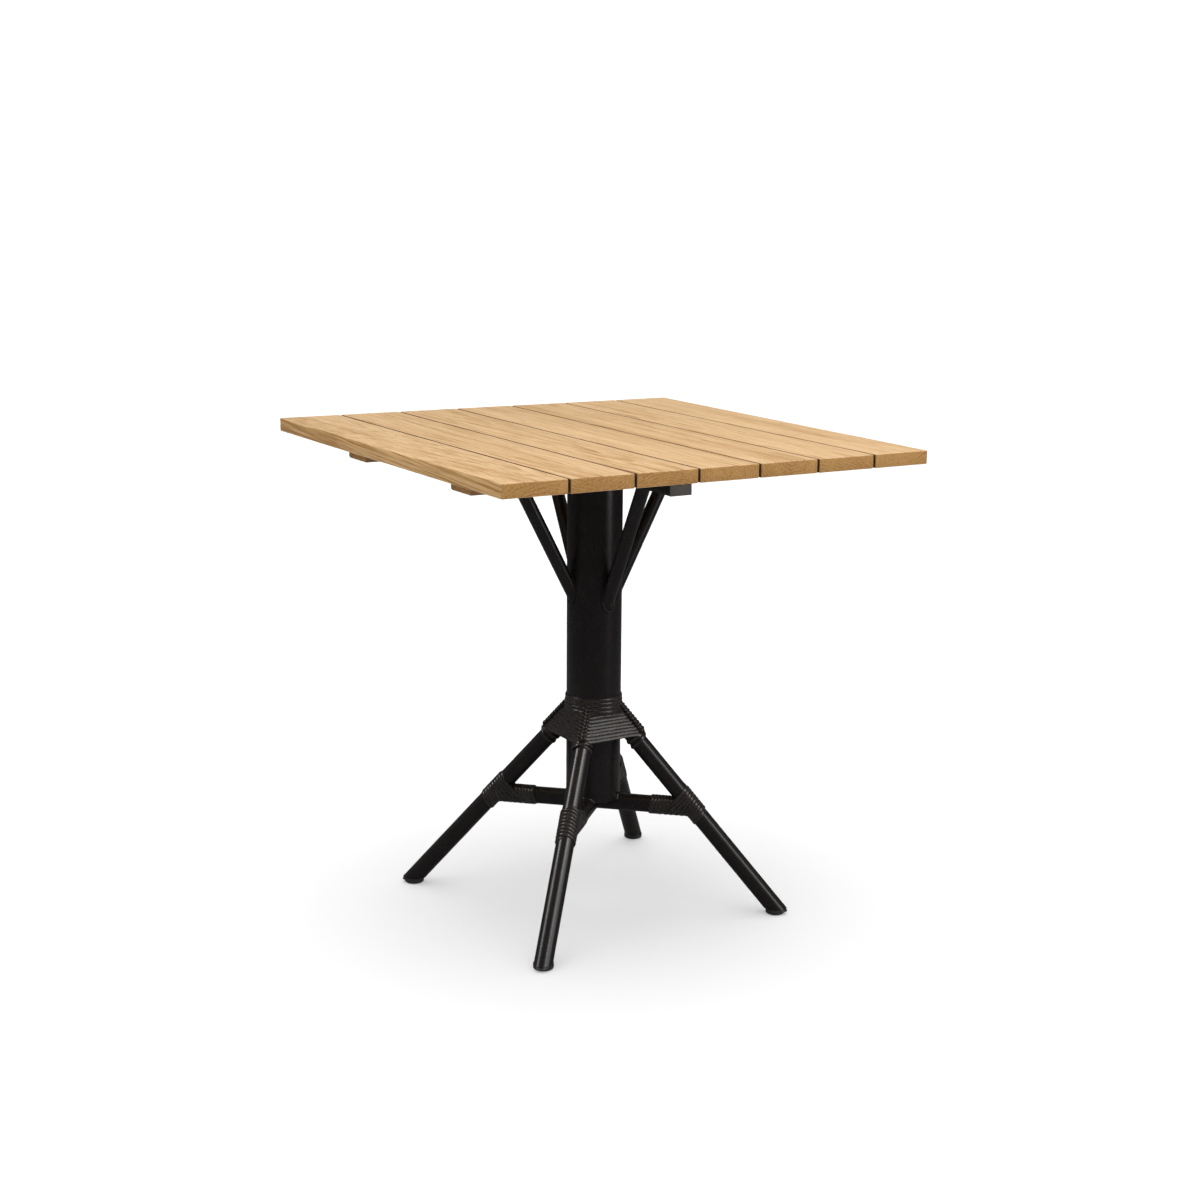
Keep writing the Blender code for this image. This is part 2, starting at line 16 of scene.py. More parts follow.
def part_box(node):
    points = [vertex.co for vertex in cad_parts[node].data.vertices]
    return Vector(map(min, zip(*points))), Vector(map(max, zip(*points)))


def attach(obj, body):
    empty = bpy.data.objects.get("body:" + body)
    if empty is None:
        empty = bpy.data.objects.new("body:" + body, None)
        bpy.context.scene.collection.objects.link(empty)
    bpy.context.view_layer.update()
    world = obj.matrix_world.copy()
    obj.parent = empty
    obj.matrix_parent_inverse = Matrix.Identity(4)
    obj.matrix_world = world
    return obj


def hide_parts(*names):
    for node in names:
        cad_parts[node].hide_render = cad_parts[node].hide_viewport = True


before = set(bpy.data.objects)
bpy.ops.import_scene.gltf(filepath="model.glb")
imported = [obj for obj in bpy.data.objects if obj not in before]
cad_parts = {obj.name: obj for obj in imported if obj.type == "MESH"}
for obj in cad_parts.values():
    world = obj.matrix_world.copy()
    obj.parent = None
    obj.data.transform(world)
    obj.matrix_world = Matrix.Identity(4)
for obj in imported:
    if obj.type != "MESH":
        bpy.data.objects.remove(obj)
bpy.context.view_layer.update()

bl_info = {
    "name": "Lashed Bistro Table",
    "version": (1, 0, 0),
    "blender": (4, 5, 0),
    "location": "View3D > Sidebar > Bistro Table",
    "description": "Gives a slatted bistro table its teak, powder coat, welds, screws and strand lashings",
    "category": "Object",
}

BODY = "root"
UP = Vector((0.0, 0.0, 1.0))
CORNERS = {
    "front_left": Vector((-1.0, -1.0, 0.0)).normalized(),
    "front_right": Vector((1.0, -1.0, 0.0)).normalized(),
    "back_left": Vector((-1.0, 1.0, 0.0)).normalized(),
    "back_right": Vector((1.0, 1.0, 0.0)).normalized(),
}
SIDES = {
    "left": Vector((-1.0, 0.0, 0.0)),
    "right": Vector((1.0, 0.0, 0.0)),
    "front": Vector((0.0, -1.0, 0.0)),
    "back": Vector((0.0, 1.0, 0.0)),
}
TOP_HALF = 0.35
MERGE_DISTANCE = 0.000002
SMOOTH_ANGLE = math.radians(32.0)
METAL_NODES = (
    ["column_tube", "column_cap", "bar_across_slats", "bar_along_slats", "stretcher_long"]
    + ["stretcher_front_left", "stretcher_back_right"]
    + [f"strut_{side}" for side in SIDES]
    + [f"leg_{corner}" for corner in CORNERS]
)
CAP_NODES = [f"bar_cap_{side}" for side in SIDES]
GLIDE_NODES = [f"glide_{corner}" for corner in CORNERS]
SLAT_SCREWS = 14


def length(name, description, default):
    """Return a property that holds a size in metres."""
    return FloatProperty(
        name=name, description=description, default=default, unit="LENGTH", precision=5
    )


def share(name, description, default):
    """Return a property that holds a number from 0 to 1."""
    return FloatProperty(
        name=name, description=description, default=default, min=0.0, max=1.0, subtype="FACTOR"
    )


def colour(name, description, default):
    """Return a property that holds a colour."""
    return FloatVectorProperty(
        name=name, description=description, default=default, size=3, min=0.0, max=1.0, subtype="COLOR"
    )


class PedestalSizes(bpy.types.PropertyGroup):
    """Sizes of the tubes that the strands and welds follow."""

    column_radius: length("Column radius", "Outside radius of the round column", 0.0418)
    column_bottom: length("Column bottom", "Height of the column's lower rim", 0.1695)
    leg_radius: length("Leg radius", "Outside radius of a leg", 0.0138)
    leg_reach: length("Leg reach", "Distance of a leg's axis from the middle at the floor", 0.301)
    leg_slope: FloatProperty(
        name="Leg slope", description="How far a leg moves inwards for each metre of height", default=0.873
    )
    stretcher_radius: length("Stretcher radius", "Outside radius of a stretcher", 0.0134)
    stretcher_height: length("Stretcher height", "Height of the stretchers' axes", 0.163)
    strut_radius: length("Strut radius", "Outside radius of a strut", 0.0102)
    lower_strut_foot: length("Lower strut foot", "Height where a front or back strut starts", 0.494)
    lower_strut_reach: length("Lower strut reach", "Distance of its upper end from the middle", 0.135)
    upper_strut_foot: length("Upper strut foot", "Height where a left or right strut starts", 0.503)
    upper_strut_reach: length("Upper strut reach", "Distance of its upper end from the middle", 0.143)


class TeakSettings(bpy.types.PropertyGroup):
    """Colours and grain of the oiled teak."""

    light: colour("Light wood", "Colour of the early wood", (0.575, 0.392, 0.214))
    dark: colour("Dark wood", "Colour of the late wood", (0.335, 0.180, 0.058))
    pore: colour("Pores", "Colour of the pores and of the end grain's depth", (0.235, 0.115, 0.040))
    ring_gap: length("Ring spacing", "Average distance between two growth rings", 0.0046)
    end_depth: share("End grain depth", "How much darker the sawn ends take the oil", 0.42)


class CoatSettings(bpy.types.PropertyGroup):
    """Look of the powder coat, the plastic parts and the steel screws."""

    coat: colour("Powder coat", "Colour of the brown-black powder coat", (0.0068, 0.0049, 0.0046))
    coat_roughness: share("Coat roughness", "Roughness of the satin powder coat", 0.28)
    cap: colour("Cap plastic", "Colour of the caps in the bar ends", (0.072, 0.065, 0.063))
    glide: colour("Glide plastic", "Colour of the glides under the legs", (0.020, 0.019, 0.019))
    plastic_roughness: share("Plastic roughness", "Roughness of the moulded plastic", 0.48)
    steel: colour("Screw steel", "Colour of the stainless screws", (0.56, 0.56, 0.55))
    weld_radius: length("Weld radius", "Radius of a weld bead", 0.0024)


class StrandSettings(bpy.types.PropertyGroup):
    """Section, spacing and colour of the synthetic strand."""

    tint: colour("Strand", "Colour of the strand", (0.0155, 0.0122, 0.0112))
    roughness: share("Roughness", "Roughness of the extruded strand", 0.27)
    width: length("Width", "Width of the strand", 0.0057)
    thickness: length("Thickness", "Thickness of the strand at its crown", 0.0016)
    collar_width: length("Collar strand width", "Width of the strand round the column", 0.0064)
    collar_turns: IntProperty(name="Collar turns", description="Turns round the column", default=4)
    skirt_turns: IntProperty(name="Skirt turns", description="Turns of the flared skirt", default=10)
    skirt_rise: length("Skirt rise", "Height from one skirt turn to the next", 0.00436)
    skirt_bottom: length("Skirt bottom", "Height of the skirt's lower edge", 0.2745)
    leg_turns: IntProperty(name="Leg turns", description="Turns of a joint lashing round its leg", default=9)
    stretcher_turns: IntProperty(
        name="Stretcher turns", description="Turns of a joint lashing round its stretcher", default=7
    )


class StageSettings(bpy.types.PropertyGroup):
    """Camera, lamps and floor."""

    camera: FloatVectorProperty(
        name="Camera place", description="Where the camera stands", size=3, unit="LENGTH",
        default=(-1.5248, -2.5052, 1.1318),
    )
    heading: FloatProperty(
        name="Heading", description="Camera's turn from +Y towards +X", default=math.radians(36.052),
        subtype="ANGLE",
    )
    pitch: FloatProperty(
        name="Pitch", description="How far the camera looks down", default=math.radians(14.871),
        subtype="ANGLE",
    )
    roll: FloatProperty(
        name="Roll", description="Camera's turn about its own axis", default=math.radians(1.636),
        subtype="ANGLE",
    )
    lens: FloatProperty(name="Lens", description="Focal length in millimetres", default=58.962)
    shift: FloatVectorProperty(
        name="Shift", description="Lens shift as a share of the frame", size=2, default=(-0.12560, 0.07034)
    )
    floor: colour("Floor", "Colour of the pale floor", (0.638, 0.645, 0.653))


# ---------------------------------------------------------------- helpers


def sizes():
    """Return the pedestal's sizes."""
    return bpy.context.scene.table_pedestal


def deselect_all():
    """Leave nothing selected, so that an operator acts only on what is added next."""
    if bpy.context.mode != "OBJECT":
        bpy.ops.object.mode_set(mode="OBJECT")
    bpy.ops.object.select_all(action="DESELECT")


def select_only(item):
    """Select one object and make it active."""
    deselect_all()
    item.select_set(True)
    bpy.context.view_layer.objects.active = item


def name_new(name):
    """Name the object that an operator has just added, and its mesh."""
    item = bpy.context.active_object
    item.name = name
    item.data.name = name
    return item


def settle(item, angle_degrees=40.0):
    """Put the object's place into its mesh and shade it smooth."""
    select_only(item)
    bpy.ops.object.transform_apply(location=True, rotation=True, scale=True)
    bpy.ops.object.shade_smooth_by_angle(angle=math.radians(angle_degrees))


def dress(item, material, slot_name, *nodes):
    """Give a new piece its finish and its body, and hide the CAD nodes that it stands for."""
    item.data.materials.clear()
    item.data.materials.append(material)
    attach(item, BODY)
    if nodes:
        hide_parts(*nodes)


def merged_copy(name, material, slot_name):
    """Replace a CAD node with a merged, smoothly shaded copy of its mesh that has a new finish."""
    piece = bpy.data.objects.new(f"{name}_surface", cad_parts[name].data.copy())
    piece.data.name = piece.name
    bpy.context.scene.collection.objects.link(piece)
    select_only(piece)
    bpy.ops.mesh.customdata_custom_splitnormals_clear()
    bpy.ops.object.mode_set(mode="EDIT")
    bpy.ops.mesh.select_all(action="SELECT")
    bpy.ops.mesh.remove_doubles(threshold=MERGE_DISTANCE)
    bpy.ops.mesh.mark_sharp(clear=True)
    bpy.ops.object.mode_set(mode="OBJECT")
    bpy.ops.object.shade_smooth_by_angle(angle=SMOOTH_ANGLE)
    dress(piece, material, slot_name, name)
    return piece


def leg_up(diagonal):
    """Return the unit vector up along a leg."""
    return (UP - diagonal * sizes().leg_slope).normalized()


def leg_frame(diagonal):
    """Return a leg's unit vectors: up along it, across it, and square to it away from the table."""
    up = leg_up(diagonal)
    outward = (diagonal - up * diagonal.dot(up)).normalized()
    return up, UP.cross(diagonal), outward


def leg_point(diagonal, height):
    """Return the point of a leg's axis at a height."""
    return diagonal * (sizes().leg_reach - sizes().leg_slope * height) + UP * height


# ---------------------------------------------------------------- shader node groups


class Nodes:
    """Adds shader nodes in a line, left to right, and links them."""

    def __init__(self, tree):
        self.tree = tree
        self.column = 0

    def add(self, kind, inputs=None, **values):
        """Add a node, set its properties and feed its inputs with values or sockets."""
        node = self.tree.nodes.new(kind)
        node.location = (self.column * 190.0, 0.0)
        self.column += 1
        for key, value in values.items():
            setattr(node, key, value)
        for key, value in (inputs or {}).items():
            socket = node.inputs[key]
            if isinstance(value, bpy.types.NodeSocket):
                self.tree.links.new(value, socket)
            else:
                socket.default_value = value
        return node

    def math(self, operation, *values):
        """Add a Math node and return its result."""
        return self.add("ShaderNodeMath", dict(enumerate(values)), operation=operation).outputs[0]

    def times(self, first, second):
        """Multiply two numbers."""
        return self.math("MULTIPLY", first, second)

    def plus(self, first, second):
        """Add two numbers."""
        return self.math("ADD", first, second)

    def minus(self, first, second):
        """Subtract the second number from the first."""
        return self.math("SUBTRACT", first, second)

    def vector_math(self, operation, *values):
        """Add a Vector Math node and return its vector."""
        node = self.add("ShaderNodeVectorMath", dict(enumerate(values)), operation=operation)
        return node.outputs["Value" if operation == "LENGTH" else "Vector"]

    def noise(self, vector, scale, detail=2.0, roughness=0.5):
        """Add a noise texture and return its value."""
        inputs = {"Vector": vector, "Scale": scale, "Detail": detail, "Roughness": roughness}
        return self.add("ShaderNodeTexNoise", inputs).outputs[0]

    def stretched(self, vector, scale):
        """Scale a vector unevenly and return it."""
        return self.add("ShaderNodeMapping", {"Vector": vector, "Scale": scale}).outputs[0]

    def ramp(self, value, low, high):
        """Return 0 below low, 1 above high, and a smooth step between them."""
        inputs = {"Value": value, "From Min": low, "From Max": high}
        node = self.add("ShaderNodeMapRange", inputs, interpolation_type="SMOOTHSTEP")
        return node.outputs[0]

    def mix_value(self, factor, first, second):
        """Mix two numbers and return the result."""
        inputs = {0: factor, 2: first, 3: second}
        return self.add("ShaderNodeMix", inputs, data_type="FLOAT").outputs[0]

    def mix(self, factor, first, second, blend_type="MIX"):
        """Mix two colours and return the result."""
        node = self.add("ShaderNodeMix", data_type="RGBA", blend_type=blend_type)
        for socket, value in zip((node.inputs[0], node.inputs[6], node.inputs[7]), (factor, first, second)):
            if isinstance(value, bpy.types.NodeSocket):
                self.tree.links.new(value, socket)
            else:
                socket.default_value = value
        return node.outputs[2]


def new_group(name, vectors, colours, numbers):
    """Start a shader node group that gives a finish. Return its nodes and the sockets fed into it."""
    tree = bpy.data.node_groups.new(name, "ShaderNodeTree")
    sockets = (
        [("INPUT", label, "NodeSocketVector") for label in vectors]
        + [("INPUT", label, "NodeSocketColor") for label in colours]
        + [("INPUT", label, "NodeSocketFloat") for label in numbers]
        + [("OUTPUT", "Color", "NodeSocketColor")]
        + [("OUTPUT", label, "NodeSocketFloat") for label in ("Roughness", "Height")]
    )
    for direction, label, kind in sockets:
        tree.interface.new_socket(label, in_out=direction, socket_type=kind)
    nodes = Nodes(tree)
    return nodes, nodes.add("NodeGroupInput").outputs


def close_group(nodes, tint, roughness, height):
    """Link a finish's colour, roughness and height to its group's output node."""
    nodes.add("NodeGroupOutput", {"Color": tint, "Roughness": roughness, "Height": height})


END_GRAIN_TINT = (0.70, 0.57, 0.31, 1.0)
SIDE_GRAIN_TINT = (0.95, 0.87, 0.70, 1.0)
SHADE_COLOUR = (0.070, 0.030, 0.009, 1.0)
WHITE = (1.0, 1.0, 1.0, 1.0)
DUST_COLOUR = (0.060, 0.054, 0.048, 1.0)
STRAND_LIGHT = (0.075, 0.062, 0.054, 1.0)


def build_teak_grain():
    """Growth rings round an axis along Y, with pores, streaks and darker sawn ends."""
    nodes, given = new_group(
        "teak_grain",
        ["Vector"],
        ["Light", "Dark", "Pore"],
        ["End Mask", "Shade Mask", "Side Mask", "Ring Spacing", "Tone", "End Depth"],
    )
    vector = given["Vector"]
    slow = nodes.add(
        "ShaderNodeTexNoise",
        {"Vector": nodes.stretched(vector, (12.0, 1.6, 12.0)), "Scale": 1.0, "Detail": 2.0},
    ).outputs["Color"]
    swing = nodes.vector_math("SUBTRACT", slow, (0.5, 0.5, 0.5))
    swing = nodes.vector_math("MULTIPLY", swing, (0.030, 0.0, 0.030))
    warped = nodes.vector_math("ADD", vector, swing)
    flat = nodes.vector_math("MULTIPLY", warped, (1.0, 0.0, 1.0))
    radius = nodes.vector_math("LENGTH", flat)
    wobble = nodes.noise(nodes.stretched(vector, (60.0, 7.0, 60.0)), 1.0, 3.0)
    turns = nodes.math("DIVIDE", radius, given["Ring Spacing"])
    turns = nodes.plus(turns, nodes.times(wobble, 1.6))
    phase = nodes.math("FRACT", turns)
    rise = nodes.ramp(phase, 0.45, 0.88)
    fall = nodes.ramp(phase, 0.90, 1.0)
    ring = nodes.minus(rise, fall)
    ring = nodes.times(ring, nodes.ramp(nodes.noise(flat, 45.0, 1.0), 0.30, 0.62))
    streak = nodes.noise(nodes.stretched(vector, (300.0, 2.4, 300.0)), 1.0, 3.0, 0.6)
    fine = nodes.noise(nodes.stretched(vector, (760.0, 8.0, 760.0)), 1.0, 2.0, 0.6)
    broad = nodes.noise(nodes.stretched(vector, (17.0, 1.6, 17.0)), 1.0, 2.0)
    pores = nodes.noise(nodes.stretched(vector, (1100.0, 34.0, 1100.0)), 1.0, 1.0)
    pores = nodes.ramp(pores, 0.56, 0.70)
    pores = nodes.times(pores, nodes.plus(nodes.times(ring, 0.5), 0.5))
    amount = nodes.times(ring, 0.52)
    amount = nodes.plus(amount, nodes.times(nodes.ramp(streak, 0.42, 0.62), 0.42))
    amount = nodes.plus(amount, nodes.times(nodes.ramp(fine, 0.44, 0.62), 0.44))
    amount = nodes.plus(amount, nodes.times(nodes.ramp(broad, 0.35, 0.70), 0.22))
    amount = nodes.minus(amount, 0.24)
    stronger = nodes.plus(nodes.times(given["Side Mask"], 0.6), 1.0)
    amount = nodes.plus(nodes.times(amount, stronger), given["Tone"])
    wood = nodes.mix(amount, given["Light"], given["Dark"])
    depth = nodes.times(given["End Mask"], given["End Depth"])
    depth = nodes.times(depth, nodes.plus(nodes.times(ring, 0.8), 0.45))
    wood = nodes.mix(depth, wood, given["Dark"])
    end_tint = nodes.mix(given["End Mask"], WHITE, END_GRAIN_TINT)
    side_tint = nodes.mix(given["Side Mask"], WHITE, SIDE_GRAIN_TINT)
    wood = nodes.mix(1.0, wood, nodes.mix(1.0, end_tint, side_tint, "MULTIPLY"), "MULTIPLY")
    wood = nodes.mix(nodes.times(pores, 0.55), wood, given["Pore"])
    wood = nodes.mix(given["Shade Mask"], wood, SHADE_COLOUR)
    rough = nodes.plus(nodes.times(pores, 0.20), nodes.times(streak, 0.22))
    rough = nodes.plus(rough, 0.44)
    rough = nodes.math("MAXIMUM", rough, given["Shade Mask"])
    height = nodes.minus(nodes.times(fine, 0.35), nodes.times(pores, 0.55))
    height = nodes.minus(height, nodes.times(ring, 0.15))
    close_group(nodes, wood, rough, height)


def build_coat_texture():
    """Fine orange-peel relief of powder coat, with a faint change of gloss and tone."""
    nodes, given = new_group(
        "powder_coat_texture", ["Vector"], ["Colour"], ["Roughness", "Grain Size", "Dust"]
    )
    vector = given["Vector"]
    scale = nodes.math("DIVIDE", 1.0, given["Grain Size"])
    peel = nodes.noise(vector, scale, 2.0, 0.55)
    specks = nodes.add("ShaderNodeTexVoronoi", {"Vector": vector, "Scale": scale}).outputs["Distance"]
    cloud = nodes.noise(vector, 9.0, 3.0, 0.6)
    change = nodes.times(nodes.minus(cloud, 0.5), 0.10)
    rough = nodes.plus(given["Roughness"], change)
    rough = nodes.plus(rough, nodes.times(nodes.minus(peel, 0.5), 0.10))
    dust = nodes.times(nodes.ramp(nodes.noise(vector, 34.0, 4.0, 0.7), 0.48, 0.75), given["Dust"])
    tinted = nodes.mix(dust, given["Colour"], DUST_COLOUR)
    height = nodes.minus(peel, nodes.times(specks, 0.35))
    close_group(nodes, tinted, rough, height)


def build_strand_texture():
    """Drawn lines along an extruded strand. U runs along it in metres and V across it from 0 to 1."""
    nodes, given = new_group("strand_texture", ["UV", "Vector"], ["Colour"], ["Roughness", "Lines"])
    parts = nodes.add("ShaderNodeSeparateXYZ", {"Vector": given["UV"]}).outputs
    across = nodes.times(parts["Y"], given["Lines"])
    line = nodes.math("ABSOLUTE", nodes.math("SINE", nodes.times(across, math.pi)))
    along = nodes.add("ShaderNodeCombineXYZ", {"X": nodes.times(parts["X"], 40.0), "Y": across})
    drawn = nodes.noise(along.outputs[0], 1.0, 3.0, 0.6)
    patch = nodes.noise(given["Vector"], 70.0, 2.0, 0.6)
    lighter = nodes.mix(0.5, given["Colour"], STRAND_LIGHT)
    tint = nodes.mix(nodes.times(nodes.ramp(drawn, 0.42, 0.75), 0.55), given["Colour"], lighter)
    rough = nodes.plus(given["Roughness"], nodes.times(patch, 0.18))
    rough = nodes.plus(rough, nodes.times(drawn, 0.12))
    rough = nodes.minus(rough, 0.15)
    height = nodes.plus(nodes.times(line, 0.5), nodes.times(drawn, 0.6))
    close_group(nodes, tint, rough, height)


# ---------------------------------------------------------------- materials


def start_material(name, diffuse):
    """Start a material. Return it, its nodes, its shader and the object coordinates."""
    material = bpy.data.materials.new(name)
    material.use_nodes = True
    material.diffuse_color = (*diffuse, 1.0)
    shader = material.node_tree.nodes["Principled BSDF"]
    shader.location = (1500.0, 0.0)
    nodes = Nodes(material.node_tree)
    coordinates = nodes.add("ShaderNodeTexCoord").outputs
    return material, nodes, shader, coordinates


def finish_material(nodes, shader, group, bump_strength, bump_distance):
    """Feed the shader from a texture group, with its height through a Bump node."""
    bump = nodes.add(
        "ShaderNodeBump",
        {"Height": group.outputs["Height"], "Strength": bump_strength, "Distance": bump_distance},
    )
    links = nodes.tree.links
    links.new(group.outputs["Color"], shader.inputs["Base Color"])
    links.new(group.outputs["Roughness"], shader.inputs["Roughness"])
    links.new(bump.outputs["Normal"], shader.inputs["Normal"])


EDGE_MARGIN = 0.003
BATTEN_SHADE = 0.72


def teak_material(name, centre, tone, turned):
    """Return oiled teak whose growth rings circle an axis through centre, tilted a little.

    A turned board runs along X. The faces in the slats' gaps and a batten's long faces are shaded.
    """
    teak = bpy.context.scene.table_teak
    material, nodes, shader, coordinates = start_material(name, teak.light)
    location, tilt = centre
    facing = nodes.add("ShaderNodeSeparateXYZ", {"Vector": coordinates["Normal"]}).outputs
    if turned:
        turn = {"Vector": coordinates["Object"], "Rotation": (0.0, 0.0, math.pi / 2)}
        vector = nodes.add("ShaderNodeMapping", turn).outputs[0]
        end_mask = nodes.ramp(nodes.math("ABSOLUTE", facing["X"]), 0.55, 0.95)
        shade_mask = nodes.times(nodes.minus(1.0, end_mask), BATTEN_SHADE)
        side_mask = 0.0
    else:
        vector = coordinates["Object"]
        end_mask = nodes.ramp(nodes.math("ABSOLUTE", facing["Y"]), 0.55, 0.95)
        sideways = nodes.ramp(nodes.math("ABSOLUTE", facing["X"]), 0.45, 0.9)
        place = nodes.add("ShaderNodeSeparateXYZ", {"Vector": vector}).outputs
        inside = nodes.math("LESS_THAN", nodes.math("ABSOLUTE", place["X"]), TOP_HALF - EDGE_MARGIN)
        shade_mask = nodes.times(sideways, inside)
        side_mask = nodes.minus(sideways, shade_mask)
    placing = {"Vector": vector, "Location": location, "Rotation": tilt}
    placed = nodes.add("ShaderNodeMapping", placing, vector_type="TEXTURE").outputs[0]
    inputs = {
        "Vector": placed,
        "Light": (*teak.light, 1.0),
        "Dark": (*teak.dark, 1.0),
        "Pore": (*teak.pore, 1.0),
        "End Mask": end_mask,
        "Shade Mask": shade_mask,
        "Side Mask": side_mask,
        "Ring Spacing": teak.ring_gap,
        "Tone": tone,
        "End Depth": teak.end_depth,
    }
    group = nodes.add("ShaderNodeGroup", inputs, node_tree=bpy.data.node_groups["teak_grain"])
    finish_material(nodes, shader, group, 0.35, 0.0006)
    shader.inputs["Specular IOR Level"].default_value = 0.35
    return material


def coat_material(name, tint, roughness, grain_size, bump, dust):
    """Return a dark coat or plastic with a fine moulded or sprayed relief."""
    material, nodes, shader, coordinates = start_material(name, tint)
    inputs = {
        "Vector": coordinates["Object"],
        "Colour": (*tint, 1.0),
        "Roughness": roughness,
        "Grain Size": grain_size,
        "Dust": dust,
    }
    group = nodes.add("ShaderNodeGroup", inputs, node_tree=bpy.data.node_groups["powder_coat_texture"])
    finish_material(nodes, shader, group, bump, 0.0003)
    shader.inputs["Specular IOR Level"].default_value = 0.45
    return material


def strand_material():
    """Return the semi-gloss synthetic strand."""
    strand = bpy.context.scene.table_strand
    material, nodes, shader, coordinates = start_material("dark_strand", strand.tint)
    inputs = {
        "UV": coordinates["UV"],
        "Vector": coordinates["Object"],
        "Colour": (*strand.tint, 1.0),
        "Roughness": strand.roughness,
        "Lines": 5.0,
    }
    group = nodes.add("ShaderNodeGroup", inputs, node_tree=bpy.data.node_groups["strand_texture"])
    finish_material(nodes, shader, group, 0.30, 0.00025)
    shader.inputs["Specular IOR Level"].default_value = 0.5
    return material


def steel_material():
    """Return brushed stainless steel for the screws."""
    coat = bpy.context.scene.table_coat
    material, nodes, shader, coordinates = start_material("brushed_screw_steel", coat.steel)
    vector = nodes.stretched(coordinates["Object"], (900.0, 900.0, 200.0))
    brushed = nodes.noise(vector, 1.0, 3.0, 0.6)
    rough = nodes.plus(nodes.times(brushed, 0.25), 0.18)
    tint = nodes.mix(brushed, (*coat.steel, 1.0), (0.40, 0.40, 0.39, 1.0))
    bump = nodes.add("ShaderNodeBump", {"Height": brushed, "Strength": 0.2, "Distance": 0.0001})
    nodes.tree.links.new(rough, shader.inputs["Roughness"])
    nodes.tree.links.new(tint, shader.inputs["Base Color"])
    nodes.tree.links.new(bump.outputs["Normal"], shader.inputs["Normal"])
    shader.inputs["Metallic"].default_value = 1.0
    return material


# ---------------------------------------------------------------- strand sweeping

STRAND_OUTLINE = (
    (-0.50, 0.00),
    (-0.50, 0.38),
    (-0.40, 0.72),
    (-0.20, 0.94),
    (0.00, 1.00),
    (0.20, 0.94),
    (0.40, 0.72),
    (0.50, 0.38),
    (0.50, 0.00),
)


def sweep_strand(bm, path, width, thickness, closed):
    """Sweep the strand's rounded section along a path of (point, outward normal, width share)."""
    uv_layer = bm.loops.layers.uv.verify()
    count = len(path)
    rings = []
    run = 0.0
    runs = []
    for index, (point, normal, widen) in enumerate(path):
        before = path[index - 1][0] if index > 0 or closed else point
        after = path[(index + 1) % count][0] if index < count - 1 or closed else point
        tangent = (after - before).normalized()
        outward = (normal - tangent * normal.dot(tangent)).normalized()
        aside = tangent.cross(outward)
        if index > 0:
            run += (point - path[index - 1][0]).length
        runs.append(run)
        ring = []
        for x, y in STRAND_OUTLINE:
            ring.append(bm.verts.new(point + aside * (x * width * widen) + outward * (y * thickness)))
        rings.append(ring)
    if closed:
        runs.append(run + (path[0][0] - path[-1][0]).length)
    steps = count if closed else count - 1
    sides = len(STRAND_OUTLINE)
    for step in range(steps):
        first, second = rings[step], rings[(step + 1) % count]
        for side in range(sides):
            turn = (side + 1) % sides
            face = bm.faces.new((first[side], first[turn], second[turn], second[side]))
            rows = (side / sides, (side + 1) / sides)
            marks = (
                (runs[step], rows[0]),
                (runs[step], rows[1]),
                (runs[step + 1], rows[1]),
                (runs[step + 1], rows[0]),
            )
            for loop, mark in zip(face.loops, marks):
                loop[uv_layer].uv = mark
    if not closed:
        bm.faces.new(list(reversed(rings[0])))
        bm.faces.new(rings[-1])


def strand_piece(name, strands):
    """Make one object from several strands, given as (path, width, thickness, closed)."""
    bm = bmesh.new()
    for path, width, thickness, closed in strands:
        sweep_strand(bm, path, width, thickness, closed)
    bmesh.ops.recalc_face_normals(bm, faces=bm.faces)
    mesh = bpy.data.meshes.new(name)
    bm.to_mesh(mesh)
    bm.free()
    item = bpy.data.objects.new(name, mesh)
    bpy.context.scene.collection.objects.link(item)
    select_only(item)
    bpy.ops.object.shade_smooth_by_angle(angle=math.radians(50.0))
    return item


def band_point(angle, height, lift):
    """Return where a taut level band round column and legs faces an angle, and its outward normal."""
    facing = Vector((math.cos(angle), math.sin(angle), 0.0))
    radius = sizes().leg_radius
    section_reach = radius * math.hypot(1.0, sizes().leg_slope)
    best = facing * sizes().column_radius
    slant = 0.0
    for diagonal in CORNERS.values():
        across = Vector((-diagonal.y, diagonal.x, 0.0))
        along = section_reach * facing.dot(diagonal)
        aside = radius * facing.dot(across)
        reach = math.hypot(along, aside)
        centre = leg_point(diagonal, height)
        centre.z = 0.0
        point = centre + diagonal * (section_reach * along / reach) + across * (radius * aside / reach)
        if point.dot(facing) > best.dot(facing):
            best = point
            slant = sizes().leg_slope * diagonal.dot(facing)
    normal = (facing + UP * slant).normalized()
    return best + UP * height + normal * lift, normal


CORNER_STEPS = 18
CHORD_STEPS = 7
CHORD_LENGTH = 0.006
BAND_BOW = 0.0001
BAND_DROP = 0.00022
STRAND_SEAT = 0.0003


def band_path(height, lift, seed):
    """Return the closed path of a taut band, with a little chance in how level and tight it lies."""
    chance = random.Random(seed)
    phases = [chance.uniform(0.0, math.tau) for _ in range(2)]
    corners = []
    for step in range(4 * CORNER_STEPS):
        angle = math.tau * (step + 0.5) / (4 * CORNER_STEPS)
        corners.append((angle, *band_point(angle, height, lift)))
    path = []
    for index, (angle, point, normal) in enumerate(corners):
        _, after, after_normal = corners[(index + 1) % len(corners)]
        pieces = CHORD_STEPS if (after - point).length > CHORD_LENGTH else 1
        for piece in range(pieces):
            part = piece / pieces
            bow = BAND_BOW * math.sin(5.0 * angle + 7.0 * part + phases[0])
            drop = BAND_DROP * math.sin(3.0 * angle + 5.0 * part + phases[1])
            blended = normal.lerp(after_normal, part).normalized()
            path.append((point.lerp(after, part) + blended * bow + UP * drop, blended, 1.0))
    return path


# ---------------------------------------------------------------- operators: finishes


